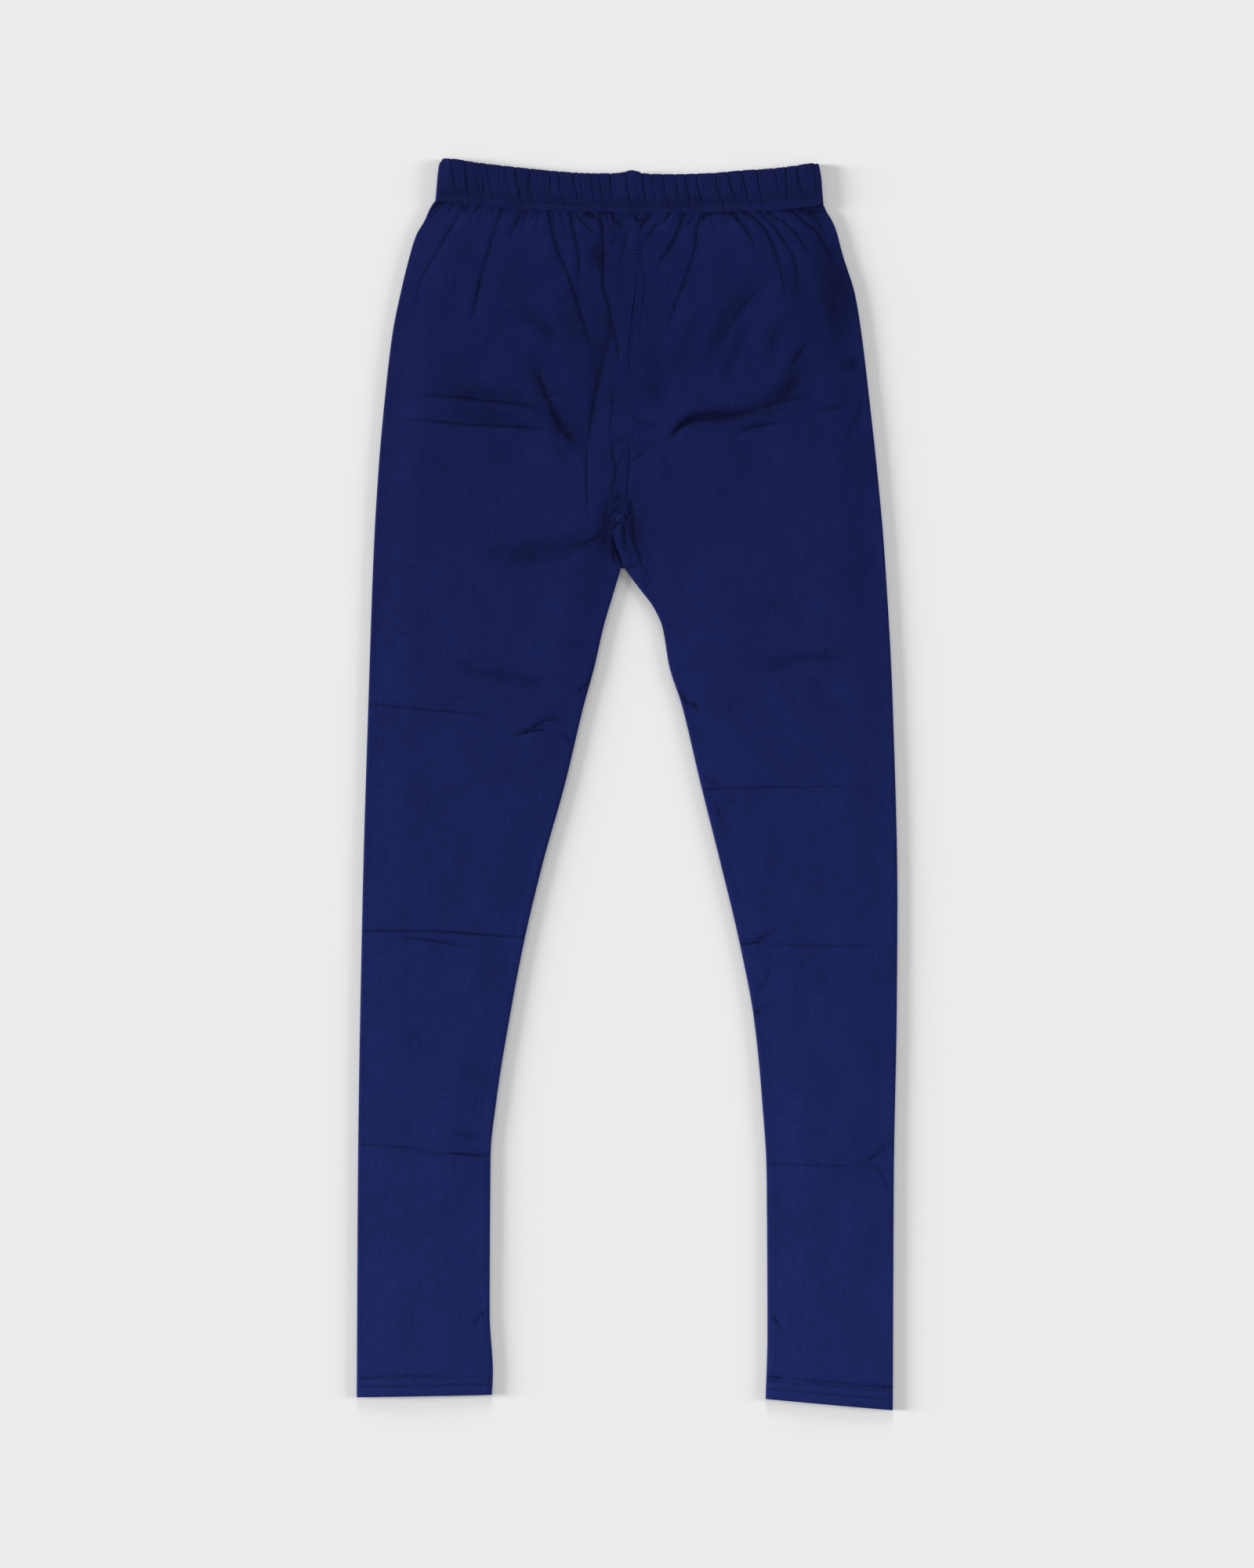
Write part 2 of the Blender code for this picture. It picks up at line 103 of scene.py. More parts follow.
def quads(numbers, turned=False):  # the four corners of each cell in a grid of places
    corners = [numbers[:-1, :-1], numbers[1:, :-1], numbers[1:, 1:], numbers[:-1, 1:]]
    if turned:
        corners = corners[:1] + corners[:0:-1]
    return list(np.stack(corners, axis=2).reshape(-1, 4))


def curve(rows):  # smooth curve through (place, value) rows, flat where it turns back
    place, value = np.array(sorted(rows), float).T
    steps = np.diff(value) / np.diff(place)
    slope = np.zeros(len(place))
    slope[0], slope[-1] = steps[0], steps[-1]
    both = steps[:-1] * steps[1:]
    total = steps[:-1] + steps[1:]
    slope[1:-1] = np.where(both > 0, 2 * both / np.where(both > 0, total, 1.0), 0.0)

    def at(where):
        held = np.clip(where, place[0], place[-1])
        i = np.clip(np.searchsorted(place, held, side="right") - 1, 0, len(place) - 2)
        span = place[i + 1] - place[i]
        t = (held - place[i]) / span
        rise = value[i + 1] - value[i]
        start, end = slope[i] * span, slope[i + 1] * span
        return value[i] + start * t + (3 * rise - 2 * start - end) * t**2 + (start + end - 2 * rise) * t**3

    return at


def strokeLine(points, step=2.0):  # a rounded line through a stroke's points, about a step apart
    points = np.array(points, float)
    if len(points) > 2:
        ends = np.vstack([2 * points[0] - points[1], points, 2 * points[-1] - points[-2]])
        line = []
        for a, b, c, d in zip(ends, ends[1:], ends[2:], ends[3:]):
            count = max(2, int(np.hypot(*(c - b)) / step))
            for t in np.arange(count)[:, None] / count:
                line.append(0.5 * (2 * b + (c - a) * t + (2 * a - 5 * b + 4 * c - d) * t**2
                                   + (3 * b - a - 3 * c + d) * t**3).reshape(2))
        points = np.array(line + [points[-1]])
    return points


def nearLine(x, y, line):
    # Distance from a line, the side it is on and the way gone along the line, for every point
    away = np.full(x.shape, 1e9)
    side = np.zeros(x.shape)
    along = np.zeros(x.shape)
    gone = 0.0
    for start, end in zip(line, line[1:]):
        span = np.hypot(*(end - start))
        dx, dy = (end - start) / span
        t = np.clip((x - start[0]) * dx + (y - start[1]) * dy, 0, span)
        ox, oy = x - start[0] - t * dx, y - start[1] - t * dy
        here = np.hypot(ox, oy)
        closer = here < away
        away = np.where(closer, here, away)
        side = np.where(closer, np.sign(dx * oy - dy * ox), side)
        along = np.where(closer, gone + t, along)
        gone += span
    return away, side, along, gone


def addCrease(height, dark, x, y, stroke, lean, openStart):
    # Adds one crease to the height of the cloth, and paints shade in its groove and beside it
    width, depth, *points = stroke
    line = strokeLine(points)
    reach = crease["reach"] * width
    low, high = line.min(axis=0) - reach, line.max(axis=0) + reach
    near = (x > low[0]) & (x < high[0]) & (y > low[1]) & (y < high[1])
    if not near.any():
        return
    away, side, along, length = nearLine(x[near], y[near], line)
    share = along / length
    crisp = 1 - between(width, *crease["softWidth"])
    fade = (1 - crease["thinning"] * share**2) * smooth((1 - share) / crease["fadeOut"])
    if not openStart:
        fade *= smooth(share / crease["fadeIn"] + crease["firstFade"])
    fade = mix(np.sin(np.pi * np.clip(share, 0.0, 1.0)), fade, crisp)
    side = side * (1 - bell(away, width / 2) * (1 - crisp))
    groove = crease["grooveWidth"] * width + crease["leastGroove"]
    trough = bell(away, crease["troughWidth"] * width) * (1 + crease["troughLean"] * lean * side)
    fromShoulder = away - crease["shoulderPlace"] * width
    shoulder = bell(fromShoulder, crease["shoulderWidth"] * width) * (1 - lean * side)
    form = crisp * crease["grooveDepth"] * bell(away, groove)
    form += crease["troughDepth"] * trough - crease["shoulderHeight"] * shoulder
    height[near] -= depth * fade * form
    # painted shade: in the groove, and a soft haze beside it, darker on the side the crease leans to
    hazy = bell(away, mix(*crease["hazeWidth"], crisp) * width) * (1 + lean * side)
    shaded = crisp * bell(away, groove) + mix(*crease["haze"], crisp) * hazy
    dark[near] += np.clip(depth / crease["fullShade"], 0, 1) * fade * shaded


def addObject(name, data):
    made = bpy.data.objects.new(name, data)
    bpy.context.scene.collection.objects.link(made)
    return made


def makeMesh(name, points, uv, faces, twin, material, shade, marks=None):
    # faces list places of the flat cloth. twin names the place that each one is sewn to, itself for most.
    counts = [len(face) for face in faces]
    corners = np.concatenate(faces)
    kept, vertices = np.unique(twin[corners], return_inverse=True)
    polygons = [part.tolist() for part in np.split(vertices, np.cumsum(counts)[:-1])]
    mesh = bpy.data.meshes.new(name)
    mesh.from_pydata((points[kept] * mm).tolist(), [], polygons)
    mesh.uv_layers.new(name="cloth").uv.foreach_set("vector", (uv[corners] * mm).astype(np.float32).ravel())
    # shade: painted shade that the jersey material darkens its colour by; marks: where ladder marks are
    # painted
    for label, values in (("shade", shade), ("marks", marks)):
        data = mesh.attributes.new(label, "FLOAT", "POINT").data
        held = np.zeros(len(kept)) if values is None else values[kept]
        data.foreach_set("value", held.astype(np.float32))
    mesh.materials.append(material)
    bm = bmesh.new()
    bm.from_mesh(mesh)
    bmesh.ops.recalc_face_normals(bm, faces=bm.faces)
    bm.to_mesh(mesh)
    bm.free()
    mesh.shade_smooth()
    mesh.update()
    return addObject(name, mesh)


# Materials

def linear(hexCode):
    parts = [int(hexCode[k:k + 2], 16) / 255 for k in (1, 3, 5)]
    return [c / 12.92 if c <= 0.04045 else ((c + 0.055) / 1.055) ** 2.4 for c in parts] + [1.0]


def addNode(tree, kind, values=None, links=None, **settings):
    node = tree.nodes.new(kind)
    for name, value in settings.items():
        setattr(node, name, value)
    for socket, value in (values or {}).items():
        node.inputs[socket].default_value = value
    for socket, source in (links or {}).items():
        tree.links.new(source, node.inputs[socket])
    return node


def calc(tree, operation, *terms):
    # A Math node on sockets and plain numbers
    node = addNode(tree, "ShaderNodeMath", operation=operation)
    for socket, term in enumerate(terms):
        if isinstance(term, (int, float)):
            node.inputs[socket].default_value = term
        else:
            tree.links.new(term, node.inputs[socket])
    return node.outputs[0]


def newMaterial(name, settings):
    # A Principled material with these values in its shader's sockets
    material = bpy.data.materials.new(name)
    material.use_nodes = True
    shader = material.node_tree.nodes["Principled BSDF"]
    for socket, value in settings.items():
        shader.inputs[socket].default_value = value
    return material, material.node_tree, shader


knit = {
    "waleWidth": 1.3,  # real wales are 0.6 to 0.7 mm wide, drawn twice as coarse so that they show
    "courseHeight": 1.1,
    "slant": 1.4,  # courses that each V rises from its middle to its ends
    "loop": 0.35,  # share of the stitch's height that changes along the wale
    "relief": 0.035,
    "fuzz": 0.05,
    "streakRelief": 0.16,
    "rungRelief": 0.08,
    "bump": 0.5,
    # shares of colour change in the yarn's unevenness
    "streaks": 0.62,
    "wales": 0.50,
    "patches": 0.42,
    "fibres": 0.28,
    # painted shade: how far the colour is darkened where the shade attribute is full
    "paintedShade": 0.56,  # how much darker the cloth looks deep in a crease
    "darkest": 0.3,
    # ladder marks where the seam allowance presses through: a small bump, and light and dark painted on
    "markPitch": 2.5,  # ladder marks where the seam allowance presses through
    "rungs": 0.17,  # and the share of colour change in them
    "paling": (0.33, -0.45),  # metres, the stretch of v over which the cloth gets paler towards the hems
    "haze": "#6a74b4",
}
# Unevenness of the yarn. Columns: how many lie on a metre across, and along, and how finely they break up
yarn = {
    "streaks": (70.0, 820.0, 3.0),  # 14 mm long and about one course high
    "wales": (640.0, 42.0, 3.0),  # about one wale wide and 24 mm long
    "patches": (34.0, 22.0, 3.0),  # some 30 by 45 mm
    "fibres": (900.0, 900.0, 2.0),  # 1.1 mm, coarser than real fuzz so that it shows
}


def jerseyMaterial(name, upper, lower, roughness):
    # Dyed cotton jersey: lengthwise wales of small V stitches, fine crosswise unevenness of the yarn, matt,
    # with a faint fibre haze. A little paler towards the hems.
    # Its colour is darkened by the points' shade attribute: painted shade in creases, seams, hollows and at
    # edges.
    material, tree, shader = newMaterial(name, {
        "Roughness": roughness,
        "Specular IOR Level": 0.05,
        "Sheen Weight": 0.02,
        "Sheen Roughness": 0.5,
        "Sheen Tint": linear(knit["haze"]),
    })
    where = addNode(tree, "ShaderNodeUVMap", uv_map="cloth").outputs["UV"]
    split = addNode(tree, "ShaderNodeSeparateXYZ", links={0: where})
    across, along = split.outputs["X"], split.outputs["Y"]
    # the painted shade of each point
    deep = addNode(tree, "ShaderNodeAttribute", attribute_name="shade").outputs["Fac"]
    marks = addNode(tree, "ShaderNodeAttribute", attribute_name="marks").outputs["Fac"]

    # the stitches
    turn = 2 * np.pi
    wale = calc(tree, "MULTIPLY", across, 1 / (knit["waleWidth"] * mm))
    course = calc(tree, "MULTIPLY", along, 1 / (knit["courseHeight"] * mm))
    fromMiddle = calc(tree, "ABSOLUTE", calc(tree, "SUBTRACT", calc(tree, "FRACT", wale), 0.5))
    slanted = calc(tree, "ADD", course, calc(tree, "MULTIPLY", fromMiddle, knit["slant"]))
    loop = calc(tree, "SINE", calc(tree, "MULTIPLY", slanted, turn))
    strand = calc(tree, "SINE", calc(tree, "MULTIPLY", fromMiddle, turn))
    stitch = calc(tree, "MULTIPLY", strand, calc(tree, "MULTIPLY_ADD", loop, knit["loop"], 1 - knit["loop"]))
    ladder = calc(tree, "SINE", calc(tree, "MULTIPLY", along, turn / (knit["markPitch"] * mm)))
    rungs = calc(tree, "MULTIPLY", marks, ladder)

    uneven = {}
    for kind, (*perMetre, detail) in yarn.items():
        place = addNode(tree, "ShaderNodeMapping", {"Scale": (*perMetre, 1.0)}, {"Vector": where})
        values = {"Scale": 1.0, "Detail": detail}
        noise = addNode(tree, "ShaderNodeTexNoise", values, {"Vector": place.outputs[0]})
        uneven[kind] = calc(tree, "SUBTRACT", noise.outputs["Fac"], 0.5)

    value = 1.0
    for kind in yarn:
        value = calc(tree, "MULTIPLY_ADD", uneven[kind], knit[kind], value)
    # painted light and shade of the ladder marks
    value = calc(tree, "MULTIPLY_ADD", rungs, knit["rungs"], value)
    # painted shade, from the shade attribute
    value = calc(tree, "MULTIPLY_ADD", deep, -knit["paintedShade"], value)
    value = calc(tree, "MAXIMUM", value, knit["darkest"])

    start, end = knit["paling"]
    towardsHem = addNode(tree, "ShaderNodeMapRange", {"From Min": start, "From Max": end}, {"Value": along})
    base = addNode(tree, "ShaderNodeMix", data_type="RGBA")
    base.inputs[6].default_value = linear(upper)
    base.inputs[7].default_value = linear(lower)
    tree.links.new(towardsHem.outputs[0], base.inputs[0])
    colour = addNode(tree, "ShaderNodeHueSaturation", links={"Value": value, "Color": base.outputs[2]})
    tree.links.new(colour.outputs[0], shader.inputs["Base Color"])

    relief = calc(tree, "MULTIPLY", stitch, knit["relief"])
    relief = calc(tree, "MULTIPLY_ADD", uneven["fibres"], knit["fuzz"], relief)
    relief = calc(tree, "MULTIPLY_ADD", uneven["streaks"], knit["streakRelief"], relief)
    relief = calc(tree, "MULTIPLY_ADD", rungs, knit["rungRelief"], relief)
    bump = addNode(tree, "ShaderNodeBump", {"Strength": knit["bump"], "Distance": mm}, {"Height": relief})
    tree.links.new(bump.outputs["Normal"], shader.inputs["Normal"])
    return material


thread = {
    "ply": 0.9,  # from one ply to the next, drawn coarser than the real thread's
    "slant": 0.7,  # radians
    "ripple": 0.05,
    "bump": 0.5,
}


def threadMaterial(name, hexCode, roughness):
    # Spun thread: a fine slanted ripple where its plies lie round each other
    material, tree, shader = newMaterial(name, {
        "Base Color": linear(hexCode),
        "Roughness": roughness,
        "Specular IOR Level": 0.12,
    })
    where = addNode(tree, "ShaderNodeTexCoord").outputs["Object"]
    place = addNode(tree, "ShaderNodeMapping", {"Rotation": (0.0, 0.0, thread["slant"])}, {"Vector": where})
    plies = {"Scale": 1 / (thread["ply"] * mm)}
    ripple = addNode(tree, "ShaderNodeTexWave", plies, {"Vector": place.outputs[0]})
    bump = addNode(tree, "ShaderNodeBump", {"Strength": thread["bump"], "Distance": thread["ripple"] * mm},
                   {"Height": ripple.outputs["Fac"]})
    tree.links.new(bump.outputs["Normal"], shader.inputs["Normal"])
    return material


navyJersey = jerseyMaterial("navy cotton jersey", "#131b4b", "#1a255c", 0.92)
navyCasing = jerseyMaterial("navy cotton jersey, gathered casing", "#131a48", "#131a48", 0.9)
navyThread = threadMaterial("navy polyester thread, spun", "#0b0f2c", 0.7)
print("materials made")

# Outline tables, as the CAD solids have them. Columns: y, x

seamTopX = 5.5  # the centre seam at the waist
waistLine = curve([(-149.2, 453.0), (-109.8, 448.8), (-55.5, 445.2), (0.0, 444.0), (48.8, 443.0),
                   (90.0, 445.0), (122.0, 446.0), (153.0, 449.6)])
centreSeam = curve([(443.0, seamTopX), (427.0, 9.8), (402.6, 9.2), (363.0, 4.3), (330.0, 1.8), (269.0, 2.1),
                    (234.9, 1.2), (219.7, -0.5)])
gussetTop = 219.7
gussetSide = {
    "right": curve([(219.7, -1.1), (209.9, -6.1), (200.1, -10.4), (189.2, -11.6), (179.4, -8.2),
                    (170.9, -4.9)]),
    "left": curve([(219.7, 0.2), (209.9, 0.6), (200.1, 1.2), (189.2, 3.1), (179.4, 6.7), (170.9, 10.4)]),
}
crotchY = 167.4
liftTable = curve([(453.0, 1.9), (440.0, 2.4), (410.0, 2.8), (330.0, 2.6), (250.0, 2.2), (170.0, 1.7),
                   (60.0, 1.3), (-150.0, 1.1), (-487.0, 0.8)])

rightLeg = {
    "name": "right",
    "side": -1,
    "outer": [(452.4, -150.4), (447.0, -153.6), (438.0, -157.6), (427.1, -163.9), (411.8, -168.8),
              (381.3, -176.3), (350.8, -182.4), (305.1, -187.9), (244.1, -193.4), (183.1, -197.0),
              (61.1, -201.3), (-91.4, -205.8), (-304.9, -209.4), (-476.8, -210.3)],
    "inseam": [(167.4, -4.9), (152.6, -9.2), (122.1, -18.3), (91.6, -25.2), (61.1, -33.6), (0.1, -48.2),
               (-60.9, -65.3), (-121.9, -79.9), (-182.9, -91.5), (-243.9, -101.3), (-289.7, -106.1),
               (-411.7, -106.8), (-457.4, -104.3), (-474.9, -105.1)],
    # rows of the mesh tilt as the creases do. Columns: y at the outer edge, y at the inner edge
    "levels": [(162.5, 167.4), (118.0, 114.0), (62.0, 40.0), (-114.5, -121.0), (-281.0, -289.0),
               (-476.8, -474.9)],
    "fineRows": [62.0, -114.5, -281.0],
    "grain": [(-487.0, -157.7), (453.0, -76.0)],
}
leftLeg = {
    "name": "left",
    "side": 1,
    "outer": [(449.4, 153.4), (445.4, 155.2), (438.0, 159.6), (430.7, 162.7), (411.8, 167.8), (381.3, 177.3),
              (350.8, 182.4), (305.1, 187.9), (244.1, 194.6), (183.1, 200.1), (61.1, 206.8), (-91.4, 210.4),
              (-182.9, 209.8), (-304.9, 207.6), (-486.8, 206.8)],
    "inseam": [(167.4, -1.8), (152.6, 9.2), (137.3, 20.7), (122.1, 27.5), (91.6, 32.9), (61.1, 42.7),
               (0.1, 57.3), (-60.9, 72.6), (-121.9, 87.2), (-182.9, 98.8), (-243.9, 104.9), (-304.9, 108.6),
               (-426.9, 109.2), (-478.2, 107.8)],
    "levels": [(162.5, 167.4), (112.0, 107.0), (1.0, -5.0), (-125.0, -125.0), (-296.0, -294.0),
               (-486.8, -478.2)],
    "fineRows": [1.0, -125.0, -296.0],
    "grain": [(-487.0, 157.7), (453.0, 79.0)],
}

# Creases: width, depth, then the points from the deep end to the shallow one. A negative depth is a ridge.

rightLeg["folds"] = [
    # the fan below the waistband
    (4.0, 1.6, (-140, 454), (-148, 449), (-154, 442)),
    (3.5, 1.0, (-135, 453), (-138, 445), (-143, 436)),
    (6.0, 1.6, (-126, 448), (-131, 441), (-146, 416), (-160, 391), (-165, 366), (-167, 350)),
    (3.5, 0.9, (-123, 450), (-126, 444), (-129, 438)),
    (4.0, 1.2, (-114, 449), (-119, 443), (-124, 434)),
    (6.0, 1.5, (-97, 447), (-102, 434), (-108, 414), (-115, 391), (-122, 358)),
    (4.0, 1.6, (-81, 446), (-87, 433), (-94, 421)),
    (3.5, 1.2, (-77, 446), (-80, 438)),
    (3.5, 1.0, (-68, 445), (-70, 433), (-72, 424)),
    (6.0, 2.4, (-61, 445), (-59, 433), (-55, 417), (-47.5, 399), (-41, 381), (-35, 361), (-30, 343),
     (-27, 322)),
    (5.5, 2.2, (-44, 444), (-41, 428), (-37, 409), (-37, 389), (-32, 377)),
    (5.0, 2.0, (-39, 441), (-30, 432), (-22, 425)),
    (5.5, 2.8, (-30, 443), (-23, 440), (-19, 432), (-18, 403), (-18, 387), (-13.6, 369), (-13, 350),
     (-18, 331), (-22, 317)),
    (4.5, 3.0, (-17, 444), (-11, 443), (-9, 437), (-4, 433), (0, 431)),
    (4.0, 1.2, (0, 431), (-1, 419), (-4, 411), (-6, 399)),
    (3.0, 0.9, (-15, 420), (-5, 425)),
    # the long ones beside the centre seam
    (5.0, 2.2, (-31, 264), (-28.5, 280), (-25, 303), (-20, 325), (-13, 349)),
    (4.0, 1.7, (-6, 326), (-7, 338), (-9.5, 352), (-12.5, 368)),
    (4.5, 1.8, (-13, 270), (-11, 258), (-8.5, 244), (-10.5, 230), (-12, 214)),
    (3.0, 1.2, (1, 260), (-6, 251), (-9, 243)),
    (4.0, 1.2, (-11, 217), (-6, 224), (-1, 221)),
    (3.0, -0.7, (-10, 227), (-7, 230), (-3, 229)),
    # soft ones over the hip
    (10.0, 3.2, (-88, 373), (-74, 364), (-61, 352), (-55, 340)),
    (12.0, 4.5, (-66, 304), (-54, 280), (-40, 263), (-30, 256)),
    (5.0, 1.9, (-60, 293), (-46, 270), (-33, 259)),
    (10.0, 2.8, (-60, 295), (-67, 314), (-74, 340)),
    (6.5, 2.8, (-70, 322), (-62, 302), (-51, 281), (-39, 265), (-33, 258)),
    (4.0, 1.0, (-62, 300), (-56, 303), (-50, 301)),
    (12.0, 1.6, (-14, 372), (-18, 340), (-24, 305), (-28, 270)),
    (12.0, 1.4, (-48, 395), (-44, 360), (-40, 330)),
    (6.0, 1.2, (-59, 265), (-48, 253), (-35, 242)),
    (4.5, 2.3, (-60, 286), (-78, 294), (-110, 298), (-139, 301), (-188, 304)),
    (11.0, 2.4, (-62, 290), (-90, 299), (-130, 303), (-160, 305)),
    (4.5, 2.3, (-52, 275), (-91, 278), (-116, 279), (-152, 282), (-190, 284)),
    (11.0, 2.2, (-66, 280), (-100, 283), (-150, 287)),
    (4.5, 0.4, (-105, 323), (-172, 326)),
    (10.0, -0.8, (-142, 361), (-162, 348), (-181, 334)),
    (6.0, 1.6, (-13, 209), (-16, 199), (-25, 191), (-38, 186), (-52, 183)),
    (14.0, 3.0, (-12, 204), (-30, 187), (-60, 180), (-92, 176), (-126, 181)),
    (9.0, 2.4, (-14, 230), (-17, 212), (-18, 192), (-12, 170)),
    # thigh
    (9.0, 2.2, (-140, 101), (-122, 91), (-101, 85), (-50, 79)),
    (5.0, 1.8, (-31, 79), (-37, 73), (-45, 68)),
    (8.0, -0.7, (-193, 112), (-174, 116)),
    (3.6, 1.3, (-203, 62), (-149, 57), (-116, 54), (-94, 50), (-77, 42)),
    (4.5, 2.4, (-84, 44), (-77, 42), (-70, 46), (-62, 50), (-44, 50)),
    (5.0, 2.2, (-91, 37), (-72, 41), (-63, 42), (-55, 38)),
    (4.5, 1.5, (-49, 40), (-41, 27)),
    # calf and ankle
    (3.2, 1.8, (-207, -114.5), (-145, -115), (-104, -118), (-77, -120)),
    (7.0, -0.6, (-205, -119), (-145, -120), (-104, -122), (-80, -125)),
    (3.5, 1.7, (-181, -120), (-157, -121), (-129, -126), (-110, -124)),
    (4.5, 1.2, (-206, -280), (-149, -284)),
    (4.5, 1.4, (-141, -287), (-106, -289)),
    (6.0, 1.2, (-142, -274), (-107, -274)),
    (3.5, 2.0, (-105, -409), (-111, -411), (-117, -416), (-120, -424)),
    # the ledge above the hem
    (3.5, 1.0, (-206, -461), (-170, -460), (-130, -459.5)),
    # fine ones beside the centre seam and round the gusset
    (3.6, 1.6, (-31.5, 272), (-31.5, 240), (-31, 190)),
    (5.0, 1.4, (-12.5, 270), (-13.2, 279), (-11.7, 289), (-11.6, 299), (-9.2, 307.5), (-7.9, 316)),
    (3.0, 1.1, (1, 271), (-6, 267), (-13, 261)),
    (3.0, 1.8, (-12.5, 207), (-8.5, 214), (-5, 217.5), (-1.5, 216.5)),
    (9.0, 2.4, (-30, 421), (-24, 408), (-19, 394)),
    (3.5, 2.2, (-12, 187), (-10, 177), (-6, 167)),
    (4.5, 1.6, (-122, 356), (-118, 372), (-114, 388), (-109, 405)),
    # the far ends of the creases across the calf and the ankle
    (3.2, 1.2, (-77, -120), (-104, -118), (-150, -115.5)),
    (4.5, 1.1, (-107, -289), (-141, -287), (-180, -284)),
]
